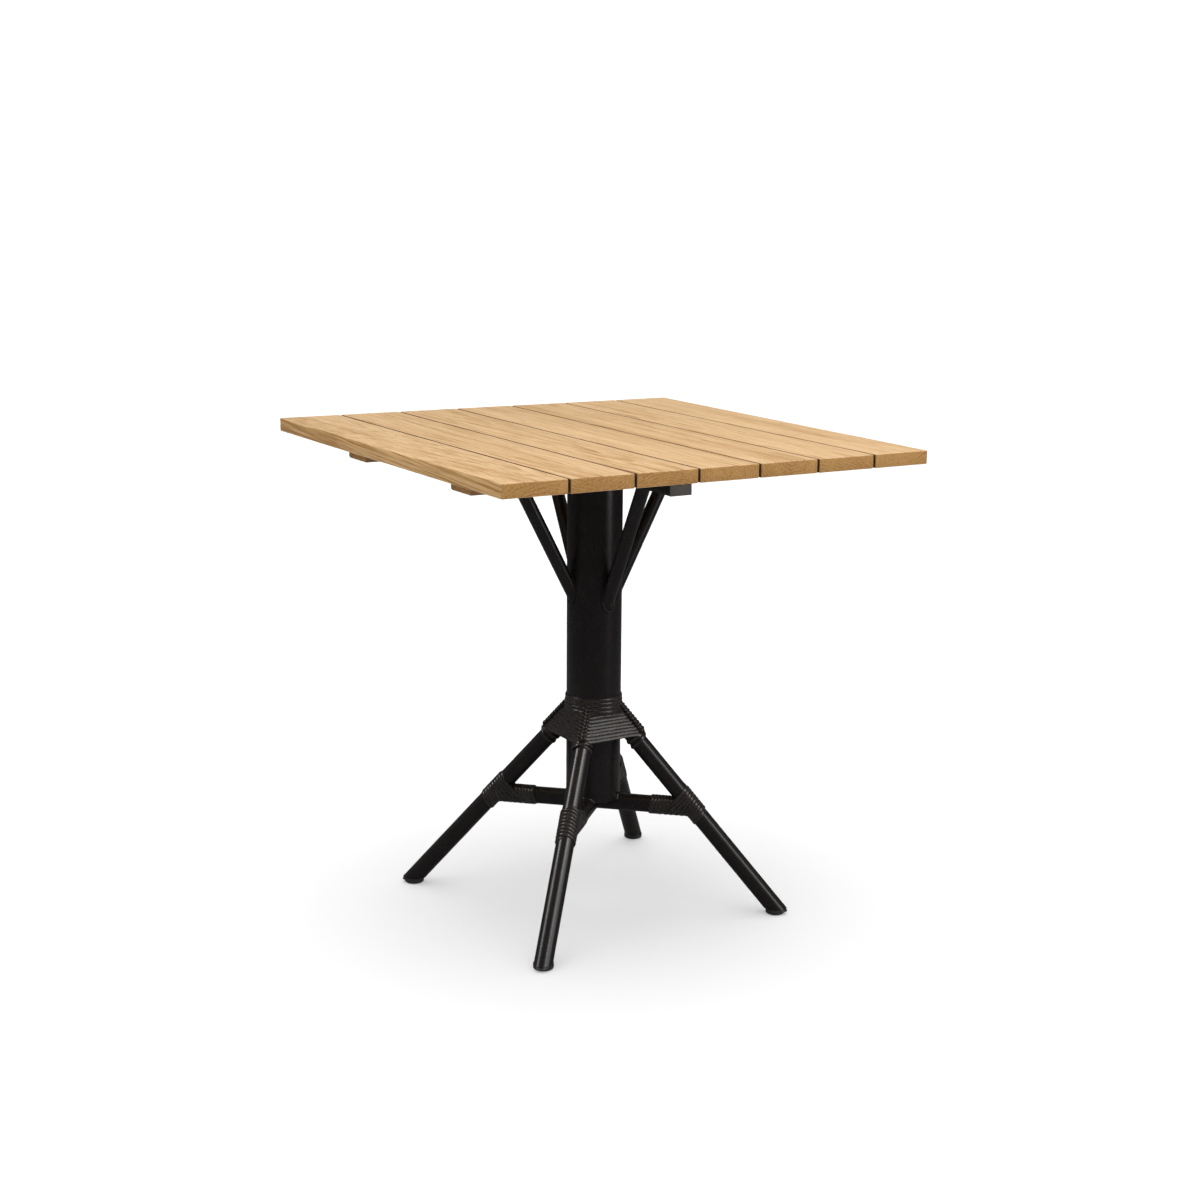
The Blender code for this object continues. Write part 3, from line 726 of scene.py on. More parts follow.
class TABLE_OT_textures(bpy.types.Operator):
    """Build the shader node groups that the finishes share"""

    bl_idname = "table.textures"
    bl_label = "Build shared textures"

    def execute(self, context):
        build_teak_grain()
        build_coat_texture()
        build_strand_texture()
        return {"FINISHED"}


SLAT_LOOKS = (
    # heart of the rings in x and z from the slat's middle, tilt about x and z in degrees, tone
    (0.020, -0.070, 2.4, 0.5, 0.02),
    (-0.030, 0.055, -0.8, 0.4, 0.10),
    (0.012, -0.040, 1.1, -0.5, 0.05),
    (-0.004, -0.026, -0.7, 0.3, 0.00),
    (0.034, 0.048, 0.6, -0.6, 0.08),
    (-0.060, -0.050, 0.9, 0.4, 0.03),
    (0.075, -0.065, -0.5, -0.4, -0.03),
)
BOARD_STEP = 0.37
BATTEN_TONES = {"batten_front": 0.10, "batten_back": 0.04}
BATTEN_HEART = (0.02, 0.5, -0.045)
BATTEN_TILT = (0.01, 0.0, 0.008)


class TABLE_OT_teak(bpy.types.Operator):
    """Give each slat and batten its own board of oiled teak"""

    bl_idname = "table.teak"
    bl_label = "Finish the teak"

    def execute(self, context):
        for number, (x, z, tilt_x, tilt_z, tone) in enumerate(SLAT_LOOKS, start=1):
            low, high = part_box(f"slat_{number}")
            middle = (low + high) / 2
            place = (middle.x + x, BOARD_STEP * number, middle.z + z)
            tilt = (math.radians(tilt_x), 0.0, math.radians(tilt_z))
            teak = teak_material(f"teak_slat_{number}", (place, tilt), tone, False)
            merged_copy(f"slat_{number}", teak, "wood")
        for name, tone in BATTEN_TONES.items():
            low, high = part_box(name)
            middle = (low + high) / 2
            place = (BATTEN_HEART[0] - middle.y, BATTEN_HEART[1], middle.z + BATTEN_HEART[2])
            teak = teak_material(f"teak_{name}", (place, BATTEN_TILT), tone, True)
            merged_copy(name, teak, "wood")
        return {"FINISHED"}


class TABLE_OT_coat(bpy.types.Operator):
    """Powder coat the tubes and bars, and give the caps and glides their plastic"""

    bl_idname = "table.coat"
    bl_label = "Coat the metal and plastic"

    def execute(self, context):
        coat = context.scene.table_coat
        satin = coat.coat_roughness
        plastic = coat.plastic_roughness
        finishes = (
            # slot, nodes, material, colour, roughness, grain size, bump, dust
            ("metal", METAL_NODES, "brown_black_powder_coat", coat.coat, satin, 0.0009, 0.10, 0.06),
            ("plastic", CAP_NODES, "grey_cap_plastic", coat.cap, plastic, 0.0006, 0.30, 0.3),
            ("plastic", GLIDE_NODES, "black_glide_plastic", coat.glide, plastic, 0.0006, 0.30, 0.4),
        )
        for slot_name, names, *look in finishes:
            material = coat_material(*look)
            for name in names:
                merged_copy(name, material, slot_name)
        return {"FINISHED"}


# ---------------------------------------------------------------- operators: welds and screws


RIPPLE = 0.13
RIPPLE_DRIFT = 0.05
THIN_BEAD_SHARE = 0.8


def add_bead(name, points, closed, radius):
    """Lay one weld bead along points: a circle's outline, moved there, thickened and made a mesh."""
    deselect_all()
    bpy.ops.mesh.primitive_circle_add(vertices=len(points), radius=radius, fill_type="NOTHING")
    bead = name_new(name)
    for vertex, point in zip(bead.data.vertices, points):
        vertex.co = point
    if not closed:
        ends = {0, len(points) - 1}
        bpy.ops.object.mode_set(mode="EDIT")
        bpy.ops.mesh.select_all(action="DESELECT")
        bpy.ops.object.mode_set(mode="OBJECT")
        for edge in bead.data.edges:
            edge.select = set(edge.vertices) == ends
        bpy.ops.object.mode_set(mode="EDIT")
        bpy.ops.mesh.select_mode(type="EDGE")
        bpy.ops.mesh.delete(type="EDGE_FACE")
        bpy.ops.object.mode_set(mode="OBJECT")
    bpy.ops.object.convert(target="CURVE")
    bead = bpy.context.active_object
    bead.data.bevel_depth = radius
    bead.data.bevel_resolution = 2
    bead.data.use_fill_caps = True
    for spline in bead.data.splines:
        for number, point in enumerate(spline.points):
            ripple = RIPPLE * math.sin(number * math.tau / 3.0)
            point.radius = 1.0 + ripple + RIPPLE_DRIFT * math.sin(number * 0.7)
    bpy.ops.object.convert(target="MESH")
    bead = name_new(name)
    settle(bead, 60.0)
    return bead


def join_beads(beads, name):
    """Join several beads into one piece."""
    deselect_all()
    for bead in beads:
        bead.select_set(True)
    bpy.context.view_layer.objects.active = beads[0]
    bpy.ops.object.join()
    return name_new(name)


def onto_column(origin, direction, radius):
    """Slide a point along a direction until it is at a distance from the column's axis."""
    a = direction.x ** 2 + direction.y ** 2
    b = 2.0 * (origin.x * direction.x + origin.y * direction.y)
    c = origin.x ** 2 + origin.y ** 2 - radius ** 2
    root = math.sqrt(max(b * b - 4.0 * a * c, 0.0))
    return origin + direction * ((-b + root) / (2.0 * a))


WELD_STEPS = 60


def strut_bead_points(outward, foot):
    """Return the seam between a strut and the column, or between it and the bar above."""
    pedestal = sizes()
    side = UP.cross(outward)
    if abs(outward.y) > 0.5:
        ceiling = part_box("bar_along_slats")[0].z
        height, reach = pedestal.lower_strut_foot, pedestal.lower_strut_reach
    else:
        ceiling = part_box("bar_across_slats")[0].z
        height, reach = pedestal.upper_strut_foot, pedestal.upper_strut_reach
    upward = (UP + outward * ((reach - pedestal.column_radius) / (ceiling - height))).normalized()
    start = UP * height + outward * pedestal.column_radius
    lean = upward.cross(side).normalized()
    points = []
    for step in range(WELD_STEPS):
        angle = math.tau * step / WELD_STEPS
        rim = (lean * math.cos(angle) + side * math.sin(angle)) * pedestal.strut_radius
        origin = start + rim
        if foot:
            points.append(onto_column(origin, upward, pedestal.column_radius))
        else:
            points.append(origin + upward * ((ceiling - origin.z) / upward.z))
    return points


def saddle_points(diagonal):
    """Return the seam of the column's lower rim over a stretcher."""
    pedestal = sizes()
    side = UP.cross(diagonal)
    points = []
    reach = math.acos((pedestal.column_bottom - pedestal.stretcher_height) / pedestal.stretcher_radius)
    for step in range(WELD_STEPS // 2 + 1):
        angle = -reach + 2.0 * reach * step / (WELD_STEPS // 2)
        rim = (UP * math.cos(angle) + side * math.sin(angle)) * pedestal.stretcher_radius
        origin = UP * pedestal.stretcher_height + rim
        points.append(onto_column(origin, diagonal, pedestal.column_radius))
    return points


def joint_bead_points(diagonal):
    """Return the seam between a stretcher and the inner side of its leg."""
    pedestal = sizes()
    up = leg_up(diagonal)
    foot = leg_point(diagonal, 0.0)
    side = UP.cross(diagonal)
    points = []
    for step in range(WELD_STEPS):
        angle = math.tau * step / WELD_STEPS
        rim = (UP * math.cos(angle) + side * math.sin(angle)) * pedestal.stretcher_radius
        offset = UP * pedestal.stretcher_height + rim - foot
        flat = offset - up * offset.dot(up)
        way = diagonal - up * diagonal.dot(up)
        a, b = way.length_squared, 2.0 * flat.dot(way)
        c = flat.length_squared - pedestal.leg_radius ** 2
        shift = (-b - math.sqrt(max(b * b - 4.0 * a * c, 0.0))) / (2.0 * a)
        points.append(foot + offset + diagonal * shift)
    return points


HEAD_RADIUS = 0.0037
SHANK_RADIUS = 0.0019
HEAD_HEIGHT = 0.0022
HEAD_GAP = 0.0003
RECESS_WIDTH = 0.0009
RECESS_REACH = 0.0044
RECESS_DEPTH = 0.0013
PAN_FACE = 0.60
PAN_SHOULDER = 1.40


def start_screw(radius, height):
    """Start a screw from a filled circle at a height, in edit mode with its rim selected."""
    deselect_all()
    bpy.ops.mesh.primitive_circle_add(
        vertices=24, radius=radius, fill_type="NGON", location=(0.0, 0.0, height)
    )
    bpy.ops.object.mode_set(mode="EDIT")
    bpy.ops.mesh.select_all(action="SELECT")


def raise_ring(scale, rise):
    """Extrude the selected face upwards and scale its new end."""
    bpy.ops.mesh.extrude_region_move(TRANSFORM_OT_translate={"value": (0.0, 0.0, rise)})
    bpy.ops.transform.resize(value=(scale, scale, 1.0))


def countersunk_screw():
    """Model a countersunk screw that enters the wood at z = 0."""
    start_screw(HEAD_RADIUS, 0.0)
    raise_ring(SHANK_RADIUS / HEAD_RADIUS, HEAD_HEIGHT)
    raise_ring(1.0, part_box("slat_screw_1")[1].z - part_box("slat_screw_1")[0].z - HEAD_HEIGHT)
    return cut_recess("countersunk_screw", 0.0)


def pan_head_screw(node):
    """Model a pan-head screw whose head hangs under z = 0."""
    low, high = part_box(node)
    start_screw(HEAD_RADIUS * PAN_FACE, -HEAD_GAP - HEAD_HEIGHT)
    raise_ring(PAN_SHOULDER, HEAD_HEIGHT * 0.18)
    raise_ring(1.0 / (PAN_FACE * PAN_SHOULDER), HEAD_HEIGHT * 0.42)
    raise_ring(1.0, HEAD_HEIGHT * 0.40)
    raise_ring(SHANK_RADIUS / HEAD_RADIUS, 0.0)
    raise_ring(1.0, high.z - low.z - HEAD_HEIGHT)
    return cut_recess("pan_head_screw", -HEAD_GAP - HEAD_HEIGHT)


def cut_recess(name, face_height):
    """Finish a screw: cut the cross recess into its driven face and shade it."""
    bpy.ops.mesh.select_all(action="SELECT")
    bpy.ops.mesh.normals_make_consistent(inside=False)
    bpy.ops.object.mode_set(mode="OBJECT")
    screw = name_new(name)
    settle(screw)
    for reach in ((RECESS_REACH, RECESS_WIDTH), (RECESS_WIDTH, RECESS_REACH)):
        deselect_all()
        bpy.ops.mesh.primitive_cube_add(size=1.0, location=(0.0, 0.0, face_height))
        cutter = name_new("recess_cutter")
        cutter.scale = (*reach, 2.0 * RECESS_DEPTH)
        select_only(screw)
        cut = screw.modifiers.new("recess", "BOOLEAN")
        cut.operation = "DIFFERENCE"
        cut.solver = "EXACT"
        cut.object = cutter
        bpy.ops.object.modifier_apply(modifier=cut.name)
        bpy.data.objects.remove(cutter, do_unlink=True)
    bpy.ops.object.shade_smooth_by_angle(angle=SMOOTH_ANGLE)
    return screw


def place_screw(model, node, entry_height, material):
    """Put a copy of a modelled screw, with its own mesh, where a CAD screw stands."""
    low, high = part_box(node)
    screw = bpy.data.objects.new(f"{node}_surface", model.data.copy())
    bpy.context.scene.collection.objects.link(screw)
    screw.location = ((low.x + high.x) / 2, (low.y + high.y) / 2, entry_height)
    settle(screw)
    dress(screw, material, "screw", node)


class TABLE_OT_screws(bpy.types.Operator):
    """Drive the recessed steel screws from below"""

    bl_idname = "table.screws"
    bl_label = "Drive the screws"

    def execute(self, context):
        steel = steel_material()
        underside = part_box("slat_screw_1")[0].z
        model = countersunk_screw()
        for number in range(1, SLAT_SCREWS + 1):
            place_screw(model, f"slat_screw_{number}", underside, steel)
        bpy.data.objects.remove(model, do_unlink=True)
        for bar in ("lower", "upper"):
            model = pan_head_screw(f"{bar}_bar_screw_1")
            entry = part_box(f"{bar}_bar_screw_1")[0].z + HEAD_HEIGHT + HEAD_GAP
            for number in (1, 2):
                place_screw(model, f"{bar}_bar_screw_{number}", entry, steel)
            bpy.data.objects.remove(model, do_unlink=True)
        return {"FINISHED"}


class TABLE_OT_welds(bpy.types.Operator):
    """Lay the weld beads where the tubes meet"""

    bl_idname = "table.welds"
    bl_label = "Lay the welds"

    def execute(self, context):
        radius = context.scene.table_coat.weld_radius
        thin = radius * THIN_BEAD_SHARE
        metal = bpy.data.materials["brown_black_powder_coat"]
        for side, outward in SIDES.items():
            beads = [
                add_bead(f"foot_bead_{side}", strut_bead_points(outward, True), True, radius),
                add_bead(f"top_bead_{side}", strut_bead_points(outward, False), True, thin),
            ]
            dress(join_beads(beads, f"strut_welds_{side}"), metal, "metal")
        for corner, diagonal in CORNERS.items():
            beads = [
                add_bead(f"saddle_bead_{corner}", saddle_points(diagonal), False, radius),
                add_bead(f"joint_bead_{corner}", joint_bead_points(diagonal), True, thin),
            ]
            dress(join_beads(beads, f"stretcher_welds_{corner}"), metal, "metal")
        return {"FINISHED"}


# ---------------------------------------------------------------- operators: lashings


COLLAR_OVERLAP = 0.98
COLLAR_STEP_OUT = 0.00045
COLLAR_END_ANGLE = math.radians(191.0)
COLLAR_END_SPAN = math.radians(64.0)
COLLAR_END_STEPS = 26
SKIRT_SEAT = 0.0004
SKIRT_OVERLAP = 1.02


class TABLE_OT_collar(bpy.types.Operator):
    """Wind the collar of strand round the column"""

    bl_idname = "table.collar"
    bl_label = "Wind the collar"

    def execute(self, context):
        strand = context.scene.table_strand
        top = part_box("collar_lashing")[1].z
        strands = []
        for turn in range(strand.collar_turns):
            height = top - strand.collar_width * (turn + 0.5) * COLLAR_OVERLAP
            path = band_path(height, STRAND_SEAT + COLLAR_STEP_OUT * turn, turn)
            strands.append((path, strand.collar_width, strand.thickness * 1.1, True))
        strands.append((crossing_path(top, strand), strand.collar_width * 0.9, strand.thickness, False))
        item = strand_piece("collar_strands", strands)
        dress(item, strand_material_once(), "strand", "collar_lashing")
        return {"FINISHED"}


def strand_material_once():
    """Return the strand's finish, made at its first use."""
    return bpy.data.materials.get("dark_strand") or strand_material()


def crossing_path(top, strand):
    """Return the strand end that crosses the collar beside the front left leg."""
    drop = strand.collar_width * 2.6
    path = []
    for step in range(COLLAR_END_STEPS + 1):
        part = step / COLLAR_END_STEPS
        angle = COLLAR_END_ANGLE + COLLAR_END_SPAN * part
        height = top - strand.collar_width * 0.6 - drop * (part * part * (3.0 - 2.0 * part))
        over = math.sin(math.pi * part) ** 0.5 if 0.0 < part < 1.0 else 0.0
        point, normal = band_point(angle, height, 0.0002 + strand.thickness * 0.75 * over)
        path.append((point, normal, 1.0))
    return path


class TABLE_OT_skirt(bpy.types.Operator):
    """Stretch the flared skirt of strand over the column and the legs"""

    bl_idname = "table.skirt"
    bl_label = "Stretch the skirt"

    def execute(self, context):
        strand = context.scene.table_strand
        strands = []
        for turn in range(strand.skirt_turns):
            height = strand.skirt_bottom + strand.skirt_rise * (turn + 0.5)
            path = band_path(height, SKIRT_SEAT, 100 + turn)
            strands.append((path, strand.width * SKIRT_OVERLAP, strand.thickness, True))
        item = strand_piece("skirt_strands", strands)
        dress(item, strand_material_once(), "strand", "skirt_lashing")
        return {"FINISHED"}


def ridge_point(diagonal, height, sideways, lift):
    """Return a point on a leg's outer side: sideways is measured round the leg, lift outwards."""
    _, across, outward = leg_frame(diagonal)
    radius = sizes().leg_radius
    angle = sideways / (radius + PLAIT_DEPTH)
    normal = outward * math.cos(angle) + across * math.sin(angle)
    return leg_point(diagonal, height) + normal * (radius + lift), normal


PLAIT_TOP = 0.3125
PLAIT_BOTTOM = 0.2690
PLAIT_PERIOD = 0.0132
PLAIT_SWING = 0.0052
PLAIT_RELIEF = 0.0018
PLAIT_STEPS = 22
PLAIT_STRANDS = 3
PLAIT_STRAND_WIDTH = 0.0048
PLAIT_STRAND_THICKNESS = 0.0023
PLAIT_DEPTH = 0.003
PLAIT_SEAT = 0.0004
CROSSING_DROP = 0.0090
CROSSING_SPREAD = 0.0048
CROSSING_RELIEF = 0.0018
CROSSING_SHARPNESS = 1.6
CROSSING_STEPS = 96


def plait_paths(diagonal, seat):
    """Return the paths of a three-strand plait down a leg's ridge."""
    paths = []
    count = round((PLAIT_TOP - PLAIT_BOTTOM) / PLAIT_PERIOD * PLAIT_STEPS)
    for strand in range(PLAIT_STRANDS):
        path = []
        for step in range(count + 1):
            height = PLAIT_TOP - (PLAIT_TOP - PLAIT_BOTTOM) * step / count
            phase = math.tau * ((PLAIT_TOP - height) / PLAIT_PERIOD + strand / PLAIT_STRANDS)
            sideways = PLAIT_SWING * math.sin(phase)
            lift = seat + PLAIT_RELIEF * (1.0 - math.sin(2.0 * phase))
            path.append((*ridge_point(diagonal, height, sideways, lift), 1.0))
        paths.append(path)
    return paths


def figure_eight(diagonal, height, spread, seat):
    """Return a closed path that crosses itself on a leg's outer side and rounds its inner side twice."""
    up, across, outward = leg_frame(diagonal)
    radius = sizes().leg_radius
    path = []
    for step in range(CROSSING_STEPS):
        turn = 2.0 * step / CROSSING_STEPS
        angle = math.tau * turn
        lane = math.cos(math.pi * turn)
        slide = spread * max(-1.0, min(1.0, CROSSING_SHARPNESS * lane))
        over = seat + (CROSSING_RELIEF if turn < 1.0 and abs(lane) < 0.5 else 0.0)
        normal = -outward * math.cos(angle) + across * math.sin(angle)
        path.append((leg_point(diagonal, height) + up * slide + normal * (radius + over), normal, 1.0))
    return path


class TABLE_OT_plaits(bpy.types.Operator):
    """Plait the strand down the ridge of each leg and cross it under the skirt"""

    bl_idname = "table.plaits"
    bl_label = "Plait the ridges"

    def execute(self, context):
        strand = context.scene.table_strand
        for corner, diagonal in CORNERS.items():
            strands = [
                (path, PLAIT_STRAND_WIDTH, PLAIT_STRAND_THICKNESS, False)
                for path in plait_paths(diagonal, PLAIT_SEAT + strand.thickness * 0.55)
            ]
            height = strand.skirt_bottom - CROSSING_DROP
            crossing = figure_eight(diagonal, height, CROSSING_SPREAD, STRAND_SEAT)
            strands.append((crossing, strand.width * 0.9, strand.thickness * 0.9, True))
            item = strand_piece(f"ridge_plait_{corner}", strands)
            dress(item, strand_material_once(), "strand")
        return {"FINISHED"}


# TAIL_TOP and TAIL_BOTTOM hold the distance from the joint where the turns start, and their run.
LASHING_START = -0.0201
LASHING_PITCH = 0.0056
LASHING_LEAN = 0.0070
HULL_FROM = -0.0060
TURN_STEPS = 56
TAIL_TOP = (0.0290, 0.0362)
TAIL_BOTTOM = (0.0500, 0.0180)
TUCK_DEPTH = 0.0016
TUCKS_PER_TURN = 4.0


def support(facing, centre, major, minor):
    """Return the point of an ellipse that lies furthest towards facing."""
    along, aside = major.dot(facing), minor.dot(facing)
    return centre + (major * along + minor * aside) / math.hypot(along, aside)


def leg_turn_point(diagonal, along_leg, angle, lift):
    """Return a point of a lashing turn that lies square to the leg at a distance from the joint."""
    pedestal = sizes()
    up, across, outward = leg_frame(diagonal)
    joint = leg_point(diagonal, pedestal.stretcher_height)
    inward = -outward
    facing = inward * math.cos(angle) + across * math.sin(angle)
    centre = joint + up * (along_leg + LASHING_LEAN * (1.0 - math.cos(angle)) / 2.0)
    point = support(facing, centre, inward * pedestal.leg_radius, across * pedestal.leg_radius)
    normal = facing
    widen = 1.0
    if along_leg > HULL_FROM and math.cos(angle) > 0.0:
        lean = up.dot(-diagonal)
        crossing = joint - diagonal * (along_leg / lean)
        other = support(
            facing, crossing, inward * (pedestal.stretcher_radius / lean), across * pedestal.stretcher_radius
        )
        if other.dot(facing) > point.dot(facing):
            point = other
            normal = (facing - diagonal * facing.dot(diagonal)).normalized()
            widen = 1.0 / math.sqrt(1.0 - normal.dot(up) ** 2)
    return point + normal * lift, normal, widen


def stretcher_turn_point(diagonal, top, bottom, angle, lift):
    """Return a point of a turn round the stretcher whose top and bottom lie at distances from the joint."""
    pedestal = sizes()
    across = UP.cross(diagonal)
    joint = leg_point(diagonal, pedestal.stretcher_height)
    centre = joint - diagonal * ((top + bottom) / 2.0)
    skew = (top - bottom) / 2.0
    normal = UP * math.cos(angle) + across * math.sin(angle)
    point = centre + normal * (pedestal.stretcher_radius + lift) - diagonal * (skew * math.cos(angle))
    return point, normal, 1.0


def winding_steps(turns):
    """Yield the turn, angle and lift along a winding whose two ends are tucked under it."""
    for step in range(turns * TURN_STEPS + 1):
        turn = step / TURN_STEPS
        tuck = min(1.0, TUCKS_PER_TURN * turn, TUCKS_PER_TURN * (turns - turn))
        yield turn, math.tau * turn + math.pi, STRAND_SEAT - TUCK_DEPTH * (1.0 - tuck)


def joint_lashing_paths(diagonal, strand):
    """Return the two windings of a joint lashing: round the leg, then along the stretcher."""
    winding = []
    for turn, angle, lift in winding_steps(strand.leg_turns):
        along = LASHING_START + LASHING_PITCH * (turn - 0.5)
        winding.append(leg_turn_point(diagonal, along, angle, lift))
    tail = []
    for turn, angle, lift in winding_steps(strand.stretcher_turns):
        part = turn / strand.stretcher_turns
        top = TAIL_TOP[0] + TAIL_TOP[1] * part
        bottom = TAIL_BOTTOM[0] + TAIL_BOTTOM[1] * part
        tail.append(stretcher_turn_point(diagonal, top, bottom, angle, lift))
    return winding, tail


class TABLE_OT_joint_lashings(bpy.types.Operator):
    """Lash each stretcher to its leg"""

    bl_idname = "table.joint_lashings"
    bl_label = "Lash the joints"

    def execute(self, context):
        strand = context.scene.table_strand
        for corner, diagonal in CORNERS.items():
            winding, tail = joint_lashing_paths(diagonal, strand)
            strands = [
                (winding, strand.width, strand.thickness, False),
                (tail, strand.width, strand.thickness, False),
            ]
            item = strand_piece(f"joint_strands_{corner}", strands)
            dress(item, strand_material_once(), "strand", f"joint_lashing_{corner}")
        return {"FINISHED"}


# ---------------------------------------------------------------- operator: stage


class TABLE_OT_stage(bpy.types.Operator):
    """Set the pale floor, the soft studio lamps and the camera"""

    bl_idname = "table.stage"
    bl_label = "Set the stage"

    def execute(self, context):
        stage = context.scene.table_stage
        floor = add_floor(stage)
        add_camera(stage)
        add_lamps(floor)
        add_world()
        context.scene.view_settings.view_transform = "Standard"
        return {"FINISHED"}


# Painted reflection: how bright the floor looks in glossy surfaces, near the table and far from it.
FLOOR_IN_GLOSS_NEAR = 0.085
FLOOR_IN_GLOSS_FAR = 0.020
FLOOR_IN_GLOSS_FADE = (1.0, 3.6)


def add_floor(stage):
    """Add a wide round floor. Its colour in glossy reflections is a painted dim reflection, dimmer further
    out.
    """
    deselect_all()
    bpy.ops.mesh.primitive_circle_add(vertices=96, radius=30.0, fill_type="NGON")
    floor = name_new("studio_floor")
    material, nodes, shader, coordinates = start_material("pale_floor", stage.floor)
    cloud = nodes.noise(coordinates["Object"], 3.0, 2.0)
    tint = nodes.mix(nodes.times(cloud, 0.02), (*stage.floor, 1.0), (0.5, 0.5, 0.5, 1.0))
    # painted reflection: glossy rays see the floor dim, and dimmer far from the table
    glossy = nodes.add("ShaderNodeLightPath").outputs["Is Glossy Ray"]
    distance = nodes.vector_math("LENGTH", coordinates["Object"])
    far = nodes.ramp(distance, *FLOOR_IN_GLOSS_FADE)
    dim = nodes.mix_value(far, FLOOR_IN_GLOSS_NEAR, FLOOR_IN_GLOSS_FAR)
    dimmed = nodes.add("ShaderNodeCombineXYZ", {"X": dim, "Y": dim, "Z": dim}).outputs[0]
    tint = nodes.mix(glossy, tint, dimmed)
    nodes.tree.links.new(tint, shader.inputs["Base Color"])
    shader.inputs["Roughness"].default_value = 0.9
    shader.inputs["Specular IOR Level"].default_value = 0.0
    floor.data.materials.append(material)
    return floor


def add_camera(stage):
    """Add the camera at its place, with its turn built from heading, pitch and roll."""
    data = bpy.data.cameras.new("camera")
    data.sensor_width = 36.0
    data.lens = stage.lens
    data.shift_x, data.shift_y = stage.shift
    data.clip_end = 100.0
    camera = bpy.data.objects.new("camera", data)
    level = Vector((math.sin(stage.heading), math.cos(stage.heading), 0.0))
    ahead = level * math.cos(stage.pitch) - UP * math.sin(stage.pitch)
    right = ahead.cross(UP).normalized()
    above = right.cross(ahead)
    turned_right = right * math.cos(stage.roll) + above * math.sin(stage.roll)
    turned_above = above * math.cos(stage.roll) - right * math.sin(stage.roll)
    turn = Matrix((turned_right, turned_above, -ahead)).transposed()
    camera.matrix_world = Matrix.Translation(stage.camera) @ turn.to_4x4()
    bpy.context.scene.collection.objects.link(camera)
    bpy.context.scene.camera = camera


LAMPS = (
    # name, direction towards the lamp, strength
    ("right_softbox", (0.246, -0.571, 0.786), 0.95),
    ("left_softbox", (-0.592, 0.409, 0.696), 0.95),
)
LAMP_ANGLE = math.radians(17.0)
FLOOR_WASH = 1.66
STRIP_PLACE = (1.60, -2.50, 1.80)
STRIP_SIZE = (0.64, 3.05)
STRIP_POWER = 29.0


def add_lamp(kind, name, towards, linked_floor, link_state):
    """Add a lamp that shines from a direction and either skips the floor or lights it alone."""
    data = bpy.data.lights.new(name, kind)
    lamp = bpy.data.objects.new(name, data)
    lamp.rotation_euler = Vector(towards).to_track_quat("Z", "Y").to_euler()
    bpy.context.scene.collection.objects.link(lamp)
    receivers = bpy.data.collections.new(f"{name}_receivers")
    receivers.objects.link(linked_floor)
    receivers.collection_objects[0].light_linking.link_state = link_state
    lamp.light_linking.receiver_collection = receivers
    return lamp, data


def add_lamps(floor):
    """Add two wide, distant softboxes and a strip beside the table, and an even wash of the floor."""
    for name, towards, strength in LAMPS:
        _, data = add_lamp("SUN", name, towards, floor, "EXCLUDE")
        data.angle = LAMP_ANGLE
        data.energy = strength
    strip, data = add_lamp("AREA", "strip_softbox", (*STRIP_PLACE[:2], 0.0), floor, "EXCLUDE")
    strip.location = STRIP_PLACE
    strip.visible_camera = False
    data.shape = "RECTANGLE"
    data.size, data.size_y = STRIP_SIZE
    data.energy = STRIP_POWER
    _, data = add_lamp("SUN", "floor_wash", UP, floor, "INCLUDE")
    data.energy = FLOOR_WASH
    data.use_shadow = False


SKY_ZENITH = 3.30
SKY_SHARPNESS = 3.0
SKY_SEEN = 1.06
SKY_IN_GLOSS = 0.10


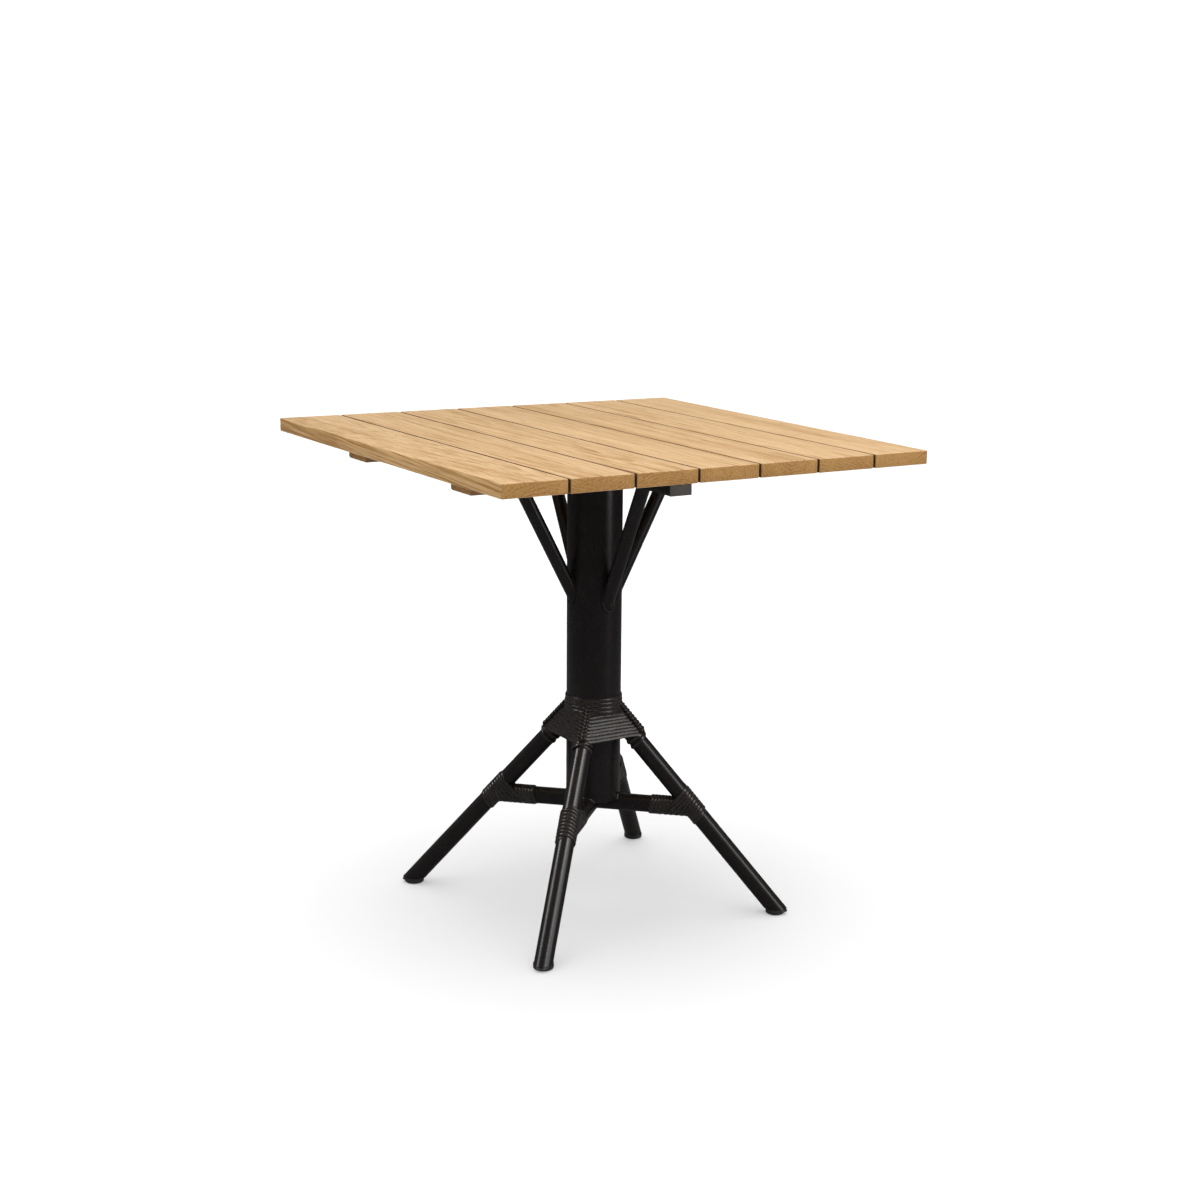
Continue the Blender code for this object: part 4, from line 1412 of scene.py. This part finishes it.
def add_world():
    """Surround the stage with white. It lights from above and looks dim in glossy surfaces."""
    world = bpy.data.worlds.new("studio_white")
    world.use_nodes = True
    background = world.node_tree.nodes["Background"]
    nodes = Nodes(world.node_tree)
    ray = nodes.add("ShaderNodeLightPath").outputs
    direction = nodes.add("ShaderNodeTexCoord").outputs["Generated"]
    rise = nodes.add("ShaderNodeSeparateXYZ", {"Vector": direction}).outputs["Z"]
    rise = nodes.math("MAXIMUM", rise, 0.0)
    sky = nodes.times(nodes.math("POWER", rise, SKY_SHARPNESS), SKY_ZENITH)
    sky = nodes.mix_value(ray["Is Glossy Ray"], sky, SKY_IN_GLOSS)
    sky = nodes.mix_value(ray["Is Camera Ray"], sky, SKY_SEEN)
    nodes.tree.links.new(sky, background.inputs["Strength"])
    background.inputs["Color"].default_value = WHITE
    bpy.context.scene.world = world


# ---------------------------------------------------------------- panel and registration


class TABLE_PT_panel(bpy.types.Panel):
    """Lists the table's settings and steps"""

    bl_idname = "TABLE_PT_panel"
    bl_label = "Bistro Table"
    bl_space_type = "VIEW_3D"
    bl_region_type = "UI"
    bl_category = "Bistro Table"

    def draw(self, context):
        layout = self.layout
        for attribute, kind in SETTINGS.items():
            box = layout.box()
            box.label(text=kind.__name__)
            for key in kind.__annotations__:
                box.prop(getattr(context.scene, attribute), key)
        for operator in OPERATORS:
            layout.operator(operator.bl_idname)


SETTINGS = {
    "table_pedestal": PedestalSizes,
    "table_teak": TeakSettings,
    "table_coat": CoatSettings,
    "table_strand": StrandSettings,
    "table_stage": StageSettings,
}
OPERATORS = (
    TABLE_OT_textures,
    TABLE_OT_teak,
    TABLE_OT_coat,
    TABLE_OT_screws,
    TABLE_OT_welds,
    TABLE_OT_collar,
    TABLE_OT_skirt,
    TABLE_OT_plaits,
    TABLE_OT_joint_lashings,
    TABLE_OT_stage,
)


def register():
    """Register the settings, the operators and the panel."""
    for kind in (*SETTINGS.values(), *OPERATORS, TABLE_PT_panel):
        bpy.utils.register_class(kind)
    for attribute, kind in SETTINGS.items():
        setattr(bpy.types.Scene, attribute, PointerProperty(type=kind))


def unregister():
    """Undo register."""
    for attribute in SETTINGS:
        delattr(bpy.types.Scene, attribute)
    for kind in reversed((*SETTINGS.values(), *OPERATORS, TABLE_PT_panel)):
        bpy.utils.unregister_class(kind)


def main():
    """Register everything and run every step."""
    register()
    for operator in OPERATORS:
        group, name = operator.bl_idname.split(".")
        getattr(getattr(bpy.ops, group), name)()


if __name__ == "__main__":
    main()
